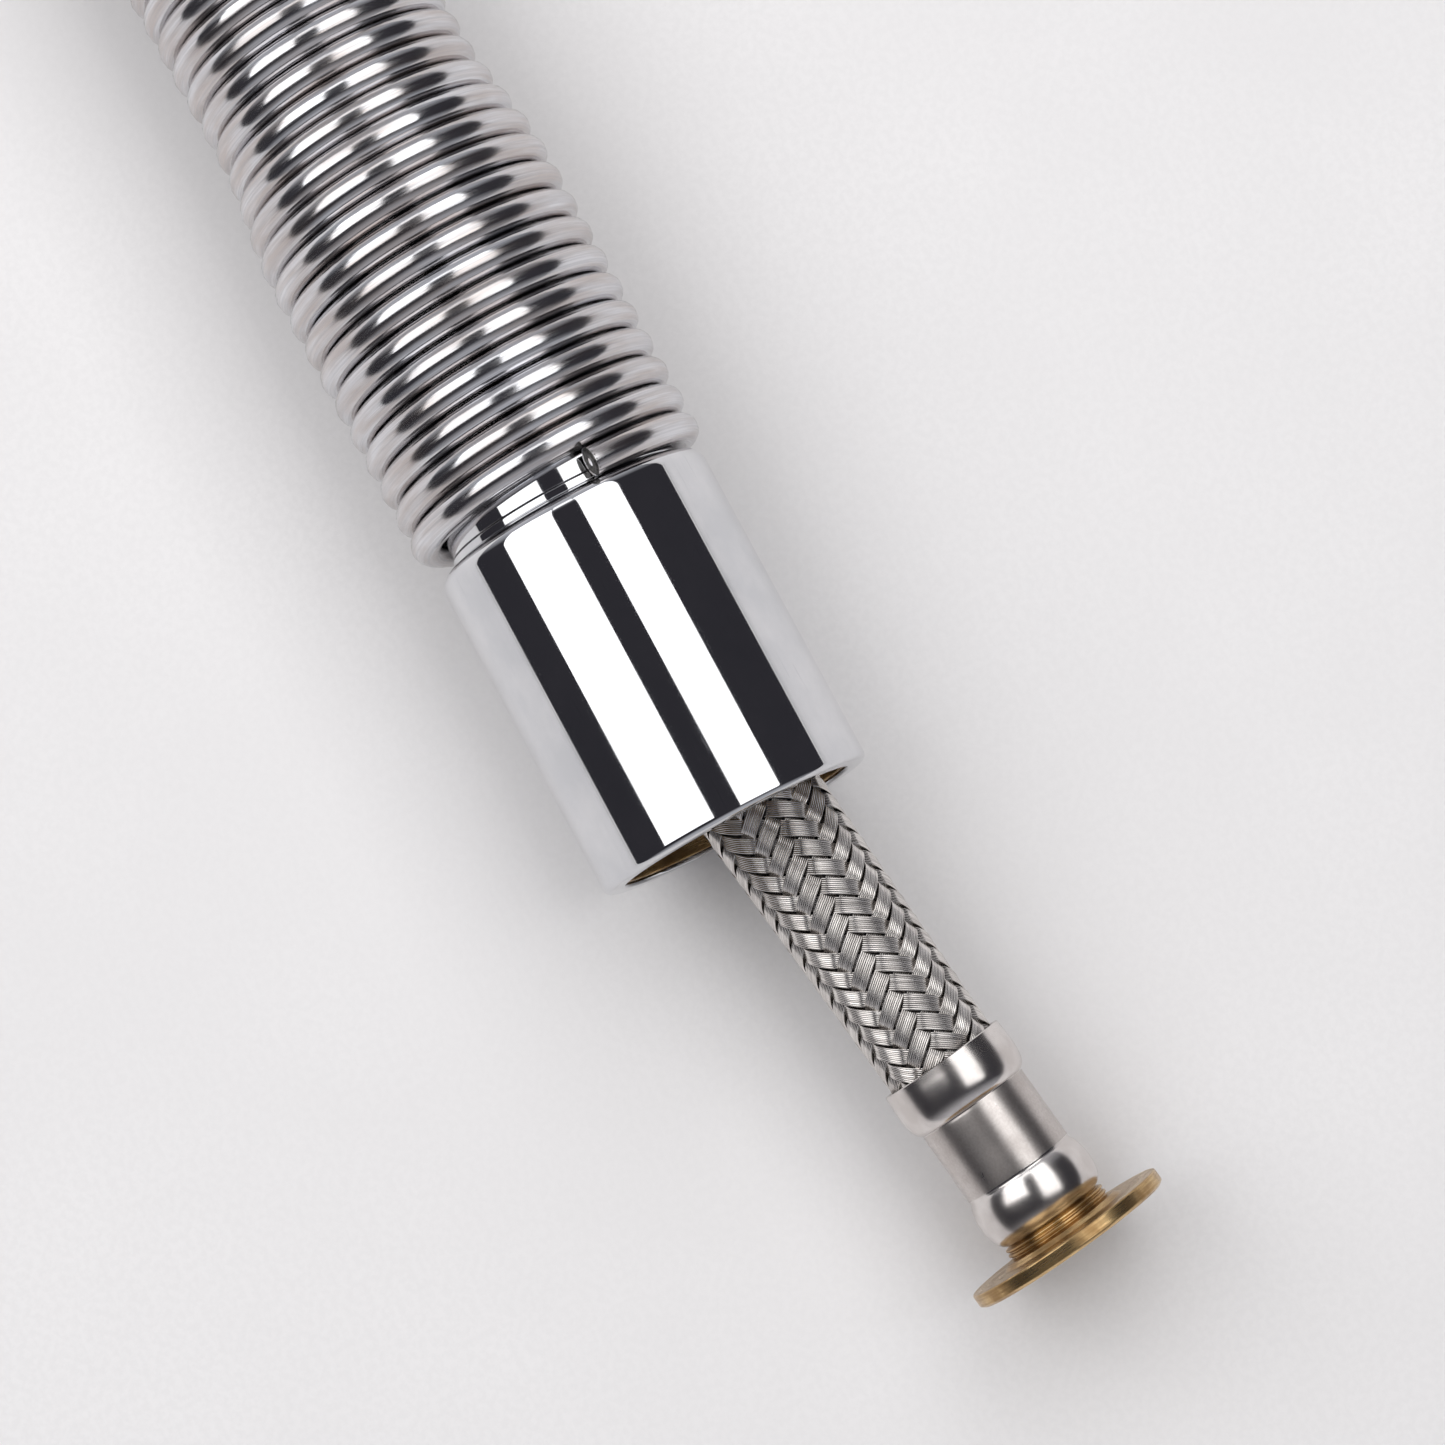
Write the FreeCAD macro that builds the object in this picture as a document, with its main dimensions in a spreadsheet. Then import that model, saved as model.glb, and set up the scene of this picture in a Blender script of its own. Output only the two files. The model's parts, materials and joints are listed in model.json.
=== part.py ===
import FreeCAD, Part
import math
import os

import Sketcher

# Handheld bath sprayer: a braided hose inside a close-wound guard spring, a coupling nut that
# swivels and slides at the inlet end, and a grip with a rear squeeze lever and a spray head.
# Lengths are millimetres and angles are degrees.
# The axis of the hose is the local Z: 0 at the sealing face of the inlet flange with the tail
# straight, growing towards the grip. Local X points up when the sprayer lies on a table.

os.makedirs("parts", exist_ok=True)
doc = FreeCAD.newDocument("BathSprayer")
sheet = doc.addObject("Spreadsheet::Sheet", "Sizes")

SIZES = {
    # Brass inlet tail
    "flangeRadius": 10.85,
    "flangeThick": 1.7,
    "neckShoulder": 0.6,
    "neckLength": 1.9,
    "lipSeatRise": 0.95,
    "barbWall": 1.05,
    "barbLength": 16.0,
    # Crimped ferrule, the same at both ends of the hose
    "ferruleLength": 18.7,
    "ferruleLip": 1.2,
    "ferruleWall": 0.55,
    "ferruleBulgeRise": 0.45,
    "ferruleBulgeStart": 1.4,
    "ferruleBulgeEnd": 4.6,
    "ferruleWaistStart": 5.5,
    "ferruleWaistEnd": 13.8,
    "ferruleBandStart": 14.6,
    "ferruleBandGap": 0.15,
    "ferruleBandWall": 0.6,
    # Braided hose
    "hoseRadius": 6.0,
    "braidThick": 0.6,
    "linerWall": 1.35,
    "crimpDepth": 0.6,
    "hoseFreeLength": 29.8,
    "tailSideBend": 7.0,
    "tailDroop": 2.4,
    "bendDepth": 26.7,
    "bendRadius": 150.0,
    # Coupling nut and the bush that it turns on
    "nutRadius": 14.5,
    "nutLength": 35.2,
    "nutEdgeRound": 1.2,
    "nutThreadBore": 12.06,
    "nutThreadLength": 14.0,
    "nutUndercut": 12.4,
    "nutTopWall": 3.5,
    "shankInset": 18.0,
    "shankRadius": 10.6,
    "bushBore": 9.2,
    "bushLipRadius": 12.6,
    "bushLipThick": 0.9,
    "spigotRadius": 12.2,
    "spigotLength": 31.0,
    "snapRingOuter": 11.6,
    "snapRingThick": 1.3,
    "snapGrooveRadius": 9.9,
    "snapRingGap": 4.0,
    # Guard spring
    "springWire": 2.7,
    "springPitch": 3.12,
    "springTurns": 84.0,
    "springEndOuter": 15.3,
    "springOuter": 13.55,
    "springEndTurns": 10.0,
    "springTaperTurns": 4.75,
    "springStart": 2.6,
    "springStartAngle": 15.0,
    # Upper bush and hose swivel
    "upperCollarRadius": 15.3,
    "upperCollarThick": 3.5,
    "upperShankRadius": 11.0,
    "upperShankLength": 19.5,
    "swivelNeckLength": 6.2,
    "swivelCollarRadius": 10.2,
    "swivelCollarThick": 2.1,
    "swivelSpigotRadius": 6.95,
    "swivelSpigotLength": 13.8,
    "swivelGrooveRadius": 5.2,
    "swivelGrooveWidth": 1.9,
    "swivelGrooveFirst": 2.8,
    "swivelGrooveStep": 5.0,
    "ringSection": 0.87,
    # Handle
    "coreRadius": 13.0,
    "coreLength": 119.5,
    "coreBore": 5.0,
    "coreShankRadius": 9.0,
    "coreShankLength": 16.0,
    "gripRadius": 16.3,
    "gripEndRadius": 15.2,
    "gripLength": 104.0,
    "gripTaper": 9.0,
    "lowerCollarRadius": 16.0,
    "lowerCollarLength": 7.5,
    "upperRingRadius": 15.5,
    "upperRingLength": 5.6,
    "lugWidth": 17.0,
    "lugReach": 21.4,
    "lugInner": 13.6,
    # Valve body, measured along the barrel from its rear end
    "barrelRadius": 17.0,
    "barrelRear": 20.0,
    "barrelFront": 18.0,
    "bodyNeckRadius": 13.5,
    "headOffset": 36.8,
    "neckGasketThick": 1.5,
    "waterwayRadius": 4.5,
    "bonnetSocket": 13.05,
    "bonnetSocketDepth": 9.0,
    "chamberRadius": 11.0,
    "webRear": 5.0,
    "webFront": 9.0,
    "seatBore": 5.5,
    "frontBore": 11.5,
    "frontThreadRadius": 14.0,
    "frontThreadLength": 8.0,
    # Bonnet, gland and stem
    "headRadius": 19.5,
    "bonnetFlangeThick": 6.0,
    "bonnetGasketThick": 0.8,
    "bonnetShankLength": 8.2,
    "bonnetShankBore": 9.6,
    "bonnetBossRadius": 8.5,
    "bonnetBossLength": 6.2,
    "packingBore": 5.0,
    "packingDepth": 5.0,
    "glandShankLength": 2.4,
    "glandHeadThick": 2.9,
    "glandHexRadius": 7.5,
    "stemRadius": 2.5,
    "stemChamfer": 1.0,
    "stemRearReach": 43.0,
    "stemFrontReach": 17.4,
    "stemCollarRadius": 9.0,
    "stemCollarThick": 1.5,
    "stemCollarPlace": 9.0,
    "washerRadius": 8.0,
    "washerThick": 2.4,
    "poppetRadius": 8.5,
    "poppetThick": 2.0,
    "poppetNutRadius": 4.6,
    "poppetNutThick": 3.2,
    "returnWire": 1.1,
    "returnTurns": 5.0,
    "returnRadius": 7.4,
    # Lever, its pin and the hold-open bail
    "pivotAbove": 20.0,
    "pivotBehind": 39.0,
    "earInner": 7.0,
    "earThick": 2.5,
    "earRound": 3.6,
    "pinRadius": 1.5,
    "leverSheet": 1.8,
    "leverCheekGap": 0.3,
    "leverWidth": 20.0,
    "leverLip": 4.2,
    "leverCheekRound": 5.5,
    "leverKneeStart": 24.0,
    "leverKneeEnd": 48.0,
    "leverKneeDepth": 33.6,
    "leverTip": 134.0,
    "leverTipDepth": 35.6,
    "leverTopReach": 4.6,
    "clipRadius": 3.2,
    "clipThick": 0.6,
    "bailWire": 2.4,
    "bailHalfWidth": 12.4,
    "bailReach": 27.0,
    "bailStub": 4.0,
    "bailBend": 3.6,
    "bailPivotSide": 18.2,
    # Spray bell and face
    "bellLength": 17.8,
    "bellRadius": 18.2,
    "bellFlare": 8.0,
    "bellSocketDepth": 8.8,
    "bellCavity": 14.6,
    "bellStep": 11.8,
    "faceRadius": 15.7,
    "diffuserThick": 1.6,
    "faceGasketThick": 1.2,
    "faceGasketBore": 13.2,
    "faceThick": 1.8,
    "jetRadius": 0.6,
    "jetRings": 3.0,
    "jetRingFirst": 5.4,
    "jetRingStep": 3.6,
    "jetsInFirstRing": 12.0,
    "jetsAddedPerRing": 6.0,
    "feedHoles": 8.0,
    "feedHoleRadius": 1.6,
    "feedHoleCircle": 9.0,
    "screwRadius": 2.0,
    "screwHeadRadius": 3.6,
    "screwHeadThick": 1.8,
    "screwHeadBevel": 1.1,
    "bumperLength": 11.5,
    "bumperLip": 2.4,
    "bumperLipBore": 15.9,
    # Clearances
    "runningFit": 0.05,
    "slipGap": 0.1,
    "ringGap": 0.2,
    "softGap": 0.3,
    "seatGap": 0.05,
}

for row, alias in enumerate(SIZES, start=1):
    sheet.set("A%d" % row, alias)
    sheet.set("B%d" % row, str(SIZES[alias]))
    sheet.setAlias("B%d" % row, alias)
doc.recompute()


class Size:
    # A number that keeps the sheet expression it came from.
    def __init__(self, value, text):
        self.value = value
        self.text = text

    def __add__(self, other):
        other = asSize(other)
        return Size(self.value + other.value, "(%s + %s)" % (self.text, other.text))

    def __sub__(self, other):
        other = asSize(other)
        return Size(self.value - other.value, "(%s - %s)" % (self.text, other.text))

    def __mul__(self, other):
        other = asSize(other)
        return Size(self.value * other.value, "(%s * %s)" % (self.text, other.text))

    def __truediv__(self, other):
        other = asSize(other)
        return Size(self.value / other.value, "(%s / %s)" % (self.text, other.text))


def asSize(number):
    return number if isinstance(number, Size) else Size(float(number), repr(float(number)))


class Sizes:
    # The sheet's cells as attributes, each with its value and its expression.
    def __getattr__(self, alias):
        return Size(float(sheet.get(alias)), "Sizes." + alias)


s = Sizes()
ZERO = asSize(0)
subParts = []


# Helpers for sketches, turned pieces and primitives


def originPlane(body, role):
    return [item for item in body.Origin.OriginFeatures if item.Role == role][0]


def newSketch(body, role):
    sketch = body.newObject("Sketcher::SketchObject", body.Name + "_sketch")
    sketch.AttachmentSupport = [(originPlane(body, role), "")]
    sketch.MapMode = "FlatFace"
    return sketch


def bindPoint(sketch, line, end, across, along):
    # Ties one end of a line to a place measured from the sketch's origin.
    for kind, axis, size in (("DistanceX", -2, across), ("DistanceY", -1, along)):
        if abs(size.value) < 1e-9:
            sketch.addConstraint(Sketcher.Constraint("PointOnObject", line, end, axis))
            continue
        index = sketch.addConstraint(Sketcher.Constraint(kind, -1, 1, line, end, size.value))
        sketch.setExpression("Constraints[%d]" % index, size.text)


def drawOutline(sketch, corners):
    # A closed outline of straight lines through the corners.
    corners = [(asSize(across), asSize(along)) for across, along in corners]
    count = len(corners)
    for index, (across, along) in enumerate(corners):
        following = corners[(index + 1) % count]
        start = FreeCAD.Vector(across.value, along.value, 0)
        end = FreeCAD.Vector(following[0].value, following[1].value, 0)
        sketch.addGeometry(Part.LineSegment(start, end))
    for index in range(count):
        sketch.addConstraint(Sketcher.Constraint("Coincident", index, 2, (index + 1) % count, 1))
    for index, (across, along) in enumerate(corners):
        bindPoint(sketch, index, 1, across, along)


def drawCircle(sketch, across, along, radius):
    across, along = asSize(across), asSize(along)
    centre = FreeCAD.Vector(across.value, along.value, 0)
    geometry = sketch.addGeometry(Part.Circle(centre, FreeCAD.Vector(0, 0, 1), radius.value))
    bindPoint(sketch, geometry, 3, across, along)
    index = sketch.addConstraint(Sketcher.Constraint("Radius", geometry, radius.value))
    sketch.setExpression("Constraints[%d]" % index, radius.text)


def turned(name, corners):
    # A body of revolution about its own Z, from (radius, height) corners.
    body = doc.addObject("PartDesign::Body", name)
    sketch = newSketch(body, "XZ_Plane")
    drawOutline(sketch, corners)
    turn = body.newObject("PartDesign::Revolution", name + "_turn")
    turn.Profile = sketch
    turn.ReferenceAxis = (sketch, ["V_Axis"])
    turn.Angle = 360
    body.Tip = turn
    doc.recompute()
    return body


def ring(name, inner, outer, length):
    return turned(name, [(inner, 0), (outer, 0), (outer, length), (inner, length)])


def pad(body, sketch, length):
    # A pad that grows the same way on both sides of its sketch.
    feature = body.newObject("PartDesign::Pad", body.Name + "_pad")
    feature.Profile = sketch
    feature.Midplane = True
    feature.Length = length.value
    feature.setExpression("Length", length.text)
    body.Tip = feature
    doc.recompute()
    return feature


def pocket(body, sketch, length):
    # A cut on both sides of its sketch, which has to take material away.
    before = body.Shape.Volume
    feature = body.newObject("PartDesign::Pocket", body.Name + "_pocket")
    feature.Profile = sketch
    feature.Midplane = True
    feature.Length = length.value
    feature.setExpression("Length", length.text)
    body.Tip = feature
    doc.recompute()
    if body.Shape.Volume > before - 1e-6:
        raise RuntimeError("a pocket in %s cuts nothing" % body.Name)
    return feature


def roundEdges(body, edges, radius):
    base = body.Tip
    feature = body.newObject("PartDesign::Fillet", body.Name + "_round")
    feature.Base = (base, edges)
    feature.Radius = radius.value
    feature.setExpression("Radius", radius.text)
    body.Tip = feature
    doc.recompute()


def rimEdges(body, radius, height):
    # The names of the circular edges of that radius at that height.
    names = []
    for index, edge in enumerate(body.Shape.Edges, start=1):
        if not isinstance(edge.Curve, Part.Circle):
            continue
        same = abs(edge.Curve.Radius - radius.value) < 1e-4
        if same and abs(edge.Curve.Center.z - height.value) < 1e-4:
            names.append("Edge%d" % index)
    return names


def primitive(kind, name, placement, **sizes):
    # A Part primitive with its sizes tied to the sheet, turned and moved to its place.
    item = doc.addObject(kind, name)
    for key, size in sizes.items():
        size = asSize(size)
        setattr(item, key, size.value)
        item.setExpression(key, size.text)
    item.Placement = placement
    return item


def joined(name, items):
    union = doc.addObject("Part::MultiFuse", name)
    union.Shapes = items
    union.Refine = True
    return union


def cut(name, base, tool):
    result = doc.addObject("Part::Cut", name)
    result.Base = base
    result.Tool = tool
    result.Refine = True
    return result


def grouped(name, items):
    group = doc.addObject("Part::Compound", name)
    group.Links = items
    return group


def solidFeature(name, shape):
    item = doc.addObject("Part::Feature", name)
    item.Shape = shape
    return item


def at(x=0.0, y=0.0, z=0.0, axis=(0, 0, 1), angle=0.0):
    turn = FreeCAD.Rotation(FreeCAD.Vector(*axis), angle)
    return FreeCAD.Placement(FreeCAD.Vector(x, y, z), turn)


def keep(item, name, placement):
    # Notes a finished sub-part and its place in the sprayer's own frame.
    item.Label = name
    subParts.append((name, item, placement))


# Radii that follow from the hose

linerRadius = s.hoseRadius - s.braidThick - s.runningFit
linerBore = linerRadius - s.linerWall
barbRadius = linerBore - s.runningFit
tailBore = barbRadius - s.barbWall
lipSeatRadius = barbRadius + s.lipSeatRise
neckRadius = lipSeatRadius + s.neckShoulder
crimpRadius = s.hoseRadius - s.crimpDepth
ferruleLipBore = lipSeatRadius + s.runningFit
ferruleEndRadius = ferruleLipBore + s.ferruleWall
ferruleWaistRadius = crimpRadius + s.runningFit + s.ferruleWall
ferruleBulgeRadius = ferruleWaistRadius + s.ferruleBulgeRise
ferruleBandBore = s.hoseRadius + s.ferruleBandGap
ferruleBandRadius = ferruleBandBore + s.ferruleBandWall


# Stations along the hose axis

ferruleStart = s.flangeThick + s.neckLength
ferruleRim = ferruleStart + s.ferruleLength
mouth = ferruleRim + s.hoseFreeLength
nutTop = mouth + s.nutLength
bend = mouth + s.bendDepth
shankEnd = mouth + s.shankInset
springStart = nutTop + s.springStart
springEnd = springStart + s.springTurns * s.springPitch
upperCollar = springEnd + s.springWire / 2 + s.ringGap
upperShankEnd = upperCollar + s.upperCollarThick + s.upperShankLength
swivelCollar = upperShankEnd + s.slipGap
upperLipEnd = swivelCollar - s.swivelNeckLength
upperRim = upperLipEnd - s.ferruleLength
coreStart = upperCollar + s.upperCollarThick + s.ringGap
coreSocketDepth = s.upperShankLength + s.swivelCollarThick + s.softGap
coreEnd = coreStart + s.coreLength
headCentre = coreEnd + s.ringGap + s.headOffset


# The bent tail: straight below the bend, turned about the bend point

tailDirection = FreeCAD.Vector(
    -math.tan(math.radians(s.tailDroop.value)), math.tan(math.radians(s.tailSideBend.value)), -1
)
tailDirection.normalize()
bendPoint = FreeCAD.Vector(0, 0, bend.value)
bendTurn = FreeCAD.Rotation(FreeCAD.Vector(0, 0, -1), tailDirection)
bentTail = FreeCAD.Placement(FreeCAD.Vector(0, 0, 0), bendTurn, bendPoint)


def inletTail():
    neckEnd = ferruleStart
    seatEnd = neckEnd + s.ferruleLip + s.ringGap
    barbEnd = seatEnd + s.barbLength
    body = turned(
        "inlet_tail",
        [
            (tailBore, 0),
            (s.flangeRadius, 0),
            (s.flangeRadius, s.flangeThick),
            (neckRadius, s.flangeThick),
            (neckRadius, neckEnd),
            (lipSeatRadius, neckEnd),
            (lipSeatRadius, seatEnd),
            (barbRadius, seatEnd),
            (barbRadius, barbEnd),
            (tailBore, barbEnd),
        ],
    )
    keep(body, "inlet_tail", bentTail)


def ferrule(name, placement):
    # The lip end is at height 0 and the rim, where the hose enters, at the top.
    body = turned(
        name,
        [
            (ferruleLipBore, 0),
            (ferruleEndRadius, 0),
            (ferruleBulgeRadius, s.ferruleBulgeStart),
            (ferruleBulgeRadius, s.ferruleBulgeEnd),
            (ferruleWaistRadius, s.ferruleWaistStart),
            (ferruleWaistRadius, s.ferruleWaistEnd),
            (ferruleBandRadius, s.ferruleBandStart),
            (ferruleBandRadius, s.ferruleLength),
            (ferruleBandBore, s.ferruleLength),
            (ferruleBandBore, s.ferruleBandStart),
            (crimpRadius + s.runningFit, s.ferruleWaistEnd),
            (crimpRadius + s.runningFit, s.ferruleLip),
            (ferruleLipBore, s.ferruleLip),
        ],
    )
    keep(body, name, placement)


# The squeezed stretch of the braid reaches this far into its full-width run
crimpOverlap = s.braidThick + s.runningFit


def hoseRun(radius, inset):
    # The hose's full-width run: down the axis, round the bend and along the tail.
    tangent = s.bendRadius.value * math.tan(math.acos(-tailDirection.z) / 2)
    start = FreeCAD.Vector(0, 0, (upperRim + s.ferruleLength - s.ferruleBandStart - inset).value)
    bendStart = bendPoint + FreeCAD.Vector(0, 0, tangent)
    bendEnd = bendPoint + tailDirection * tangent
    lowerEnd = bendPoint + tailDirection * (bend - ferruleStart - s.ferruleBandStart - inset).value
    chord = (bendStart + bendEnd) / 2
    halfChord = bendStart.distanceToPoint(bendEnd) / 2
    depth = s.bendRadius.value - math.sqrt(s.bendRadius.value**2 - halfChord**2)
    middle = chord + (bendPoint - chord).normalize() * depth
    edges = [
        Part.LineSegment(start, bendStart).toShape(),
        Part.Arc(bendStart, middle, bendEnd).toShape(),
        Part.LineSegment(bendEnd, lowerEnd).toShape(),
    ]
    profile = Part.Wire([Part.makeCircle(radius, start, FreeCAD.Vector(0, 0, 1))])
    return Part.Wire(edges).makePipeShell([profile], True, False)


def hoseTube(name, outer, inner, crimpOuter, crimpInner, runInset):
    # Full width between the ferrules, and squeezed inside both of them.
    solid = hoseRun(outer.value, runInset).cut(hoseRun(inner.value, runInset))
    length = (s.ferruleBandStart - s.ferruleLip - s.ringGap + crimpOverlap).value
    lowStart = (ferruleStart + s.ferruleLip + s.ringGap).value
    highStart = (upperRim + s.ferruleLength - s.ferruleBandStart - crimpOverlap).value
    for start, placement in ((lowStart, bentTail), (highStart, at())):
        place = FreeCAD.Vector(0, 0, start)
        squeezed = Part.makeCylinder(crimpOuter.value, length, place)
        squeezed = squeezed.cut(Part.makeCylinder(crimpInner.value, length, place))
        solid = solid.fuse(squeezed.transformGeometry(placement.toMatrix()))
    keep(solidFeature(name, solid.removeSplitter()), name, at())


def hose():
    shrink = s.hoseRadius - crimpRadius
    braidBore = s.hoseRadius - s.braidThick
    hoseTube("hose_braid", s.hoseRadius, braidBore, crimpRadius, braidBore - shrink, ZERO)
    hoseTube("hose_liner", linerRadius, linerBore, linerRadius - shrink, linerBore, crimpOverlap)


def couplingNut():
    body = turned(
        "coupling_nut",
        [
            (s.nutThreadBore, 0),
            (s.nutRadius, 0),
            (s.nutRadius, s.nutLength),
            (s.shankRadius + s.runningFit, s.nutLength),
            (s.shankRadius + s.runningFit, s.nutLength - s.nutTopWall),
            (s.nutUndercut, s.nutLength - s.nutTopWall),
            (s.nutUndercut, s.nutThreadLength),
            (s.nutThreadBore, s.nutThreadLength),
        ],
    )
    edges = rimEdges(body, s.nutRadius, ZERO) + rimEdges(body, s.nutRadius, s.nutLength)
    roundEdges(body, edges, s.nutEdgeRound)
    keep(body, "coupling_nut", at(z=mouth.value))


def lowerBush():
    ringLow = s.nutLength - s.nutTopWall - s.shankInset - s.ringGap - s.snapRingThick
    lipLow = s.nutLength - s.shankInset + s.slipGap
    lipHigh = lipLow + s.bushLipThick
    top = lipHigh + s.spigotLength
    body = turned(
        "lower_bush",
        [
            (s.bushBore, 0),
            (s.shankRadius, 0),
            (s.shankRadius, ringLow),
            (s.snapGrooveRadius, ringLow),
            (s.snapGrooveRadius, ringLow + s.snapRingThick + s.seatGap),
            (s.shankRadius, ringLow + s.snapRingThick + s.seatGap),
            (s.shankRadius, lipLow),
            (s.bushLipRadius, lipLow),
            (s.bushLipRadius, lipHigh),
            (s.spigotRadius, lipHigh),
            (s.spigotRadius, top),
            (s.bushBore, top),
        ],
    )
    keep(body, "lower_bush", at(z=shankEnd.value))
    snap = ring("snap_ring_disc", s.snapGrooveRadius + s.seatGap, s.snapRingOuter, s.snapRingThick)
    gap = primitive(
        "Part::Box",
        "snap_ring_gap",
        at(0, -s.snapRingGap.value / 2, -s.snapRingThick.value),
        Length=s.snapRingOuter * 2,
        Width=s.snapRingGap,
        Height=s.snapRingThick * 3,
    )
    keep(cut("snap_ring", snap, gap), "snap_ring", at(z=(shankEnd + ringLow).value))


# Springs: one unbroken wire along a run of tangent arcs


def halfTurn(start, startDirection, end, endDirection):
    # Two tangent arcs from one end of a half turn to the other.
    span = end - start
    total = startDirection + endDirection
    a = 2 - 2 * startDirection.dot(endDirection)
    b = 2 * span.dot(total)
    reach = (-b + math.sqrt(b * b + 4 * a * span.dot(span))) / (2 * a)
    first = start + startDirection * reach
    last = end - endDirection * reach
    middle = (first + last) / 2
    return [tangentArc(start, first, middle), tangentArc(middle, last, end)]


def tangentArc(start, corner, end):
    # The arc that leaves start towards the corner and reaches end from it.
    chord = (start + end) / 2
    half = start.distanceToPoint(end) / 2
    rise = corner - chord
    turn = math.atan2(rise.Length, half)
    return Part.Arc(start, chord + rise.normalize() * half * math.tan(turn / 2), end)


def coil(turns, pitch, startAngle, radiusAt):
    # Places and directions of a right-handed coil about Z, every half turn.
    stations = []
    for index in range(int(round(turns * 2)) + 1):
        turn = index / 2
        angle = math.radians(startAngle) + 2 * math.pi * turn
        radius = radiusAt(turn)
        growth = (radiusAt(turn + 0.01) - radiusAt(turn - 0.01)) / 0.02
        outward = FreeCAD.Vector(math.cos(angle), math.sin(angle), 0)
        around = FreeCAD.Vector(-math.sin(angle), math.cos(angle), 0)
        place = outward * radius + FreeCAD.Vector(0, 0, pitch * turn)
        direction = around * (2 * math.pi * radius) + outward * growth + FreeCAD.Vector(0, 0, pitch)
        stations.append((place, direction.normalize()))
    arcs = []
    for (start, startDirection), (end, endDirection) in zip(stations, stations[1:]):
        arcs += halfTurn(start, startDirection, end, endDirection)
    return stations, arcs


def leastGap(arcs, wire, pointsPerArc=12):
    # The least distance between neighbouring turns, measured on points of the wire's centre line.
    points = []
    for arc in arcs:
        first, last = arc.FirstParameter, arc.LastParameter
        for step in range(pointsPerArc):
            points.append(arc.value(first + (last - first) * step / pointsPerArc))
    perTurn = 4 * pointsPerArc
    least = float("inf")
    for index in range(len(points) - perTurn - perTurn // 4):
        near = range(index + perTurn * 3 // 4, index + perTurn * 5 // 4)
        least = min(least, min(points[index].distanceToPoint(points[other]) for other in near))
    return least - wire


def wound(name, arcs, start, wire):
    profile = Part.Wire([Part.makeCircle(wire / 2, start[0], start[1])])
    path = Part.Wire([arc.toShape() for arc in arcs])
    solid = path.makePipeShell([profile], True, False)
    print("%s: least gap between turns %.3f mm" % (name, leastGap(arcs, wire)))
    return solidFeature(name, solid)


def guardSpring():
    wire = s.springWire.value
    wide = s.springEndOuter.value - wire / 2
    slim = s.springOuter.value - wire / 2
    ends = s.springEndTurns.value
    taper = s.springTaperTurns.value
    turns = s.springTurns.value

    def radiusAt(turn):
        inward = (min(turn, turns - turn) - ends) / taper
        share = min(max(inward, 0.0), 1.0)
        smooth = share * share * (3 - 2 * share)
        return wide + (slim - wide) * smooth

    stations, arcs = coil(turns, s.springPitch.value, s.springStartAngle.value, radiusAt)
    keep(wound("guard_spring", arcs, stations[0], wire), "guard_spring", at(z=springStart.value))


def upperBush():
    collarLow = s.spigotLength
    collarHigh = collarLow + s.upperCollarThick
    top = collarHigh + s.upperShankLength
    body = turned(
        "upper_bush",
        [
            (s.bushBore, 0),
            (s.spigotRadius, 0),
            (s.spigotRadius, collarLow),
            (s.upperCollarRadius, collarLow),
            (s.upperCollarRadius, collarHigh),
            (s.upperShankRadius, collarHigh),
            (s.upperShankRadius, top),
            (s.bushBore, top),
        ],
    )
    keep(body, "upper_bush", at(z=(upperCollar - s.spigotLength).value))


def swivelTail():
    seatEnd = s.barbLength + s.ferruleLip + s.ringGap
    collarLow = seatEnd - s.ringGap / 2 + s.swivelNeckLength
    collarHigh = collarLow + s.swivelCollarThick
    top = collarHigh + s.swivelSpigotLength
    corners = [
        (tailBore, 0),
        (barbRadius, 0),
        (barbRadius, s.barbLength),
        (lipSeatRadius, s.barbLength),
        (lipSeatRadius, seatEnd),
        (neckRadius, seatEnd),
        (neckRadius, collarLow),
        (s.swivelCollarRadius, collarLow),
        (s.swivelCollarRadius, collarHigh),
        (s.swivelSpigotRadius, collarHigh),
    ]
    middles = []
    for groove in range(2):
        low = collarHigh + s.swivelGrooveFirst + s.swivelGrooveStep * groove
        high = low + s.swivelGrooveWidth
        corners += [
            (s.swivelSpigotRadius, low),
            (s.swivelGrooveRadius, low),
            (s.swivelGrooveRadius, high),
            (s.swivelSpigotRadius, high),
        ]
        middles.append((low + high) / 2)
    corners += [(s.swivelSpigotRadius, top), (tailBore, top)]
    base = (swivelCollar - collarLow).value
    keep(turned("swivel_tail", corners), "swivel_tail", at(z=base))
    rings = []
    for number, middle in enumerate(middles, start=1):
        rings.append(
            primitive(
                "Part::Torus",
                "swivel_ring_%d" % number,
                at(z=middle.value),
                Radius1=s.swivelGrooveRadius + s.ringSection + s.seatGap / 2,
                Radius2=s.ringSection,
            )
        )
    keep(grouped("swivel_o_rings", rings), "swivel_o_rings", at(z=base))


# Handle


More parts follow.
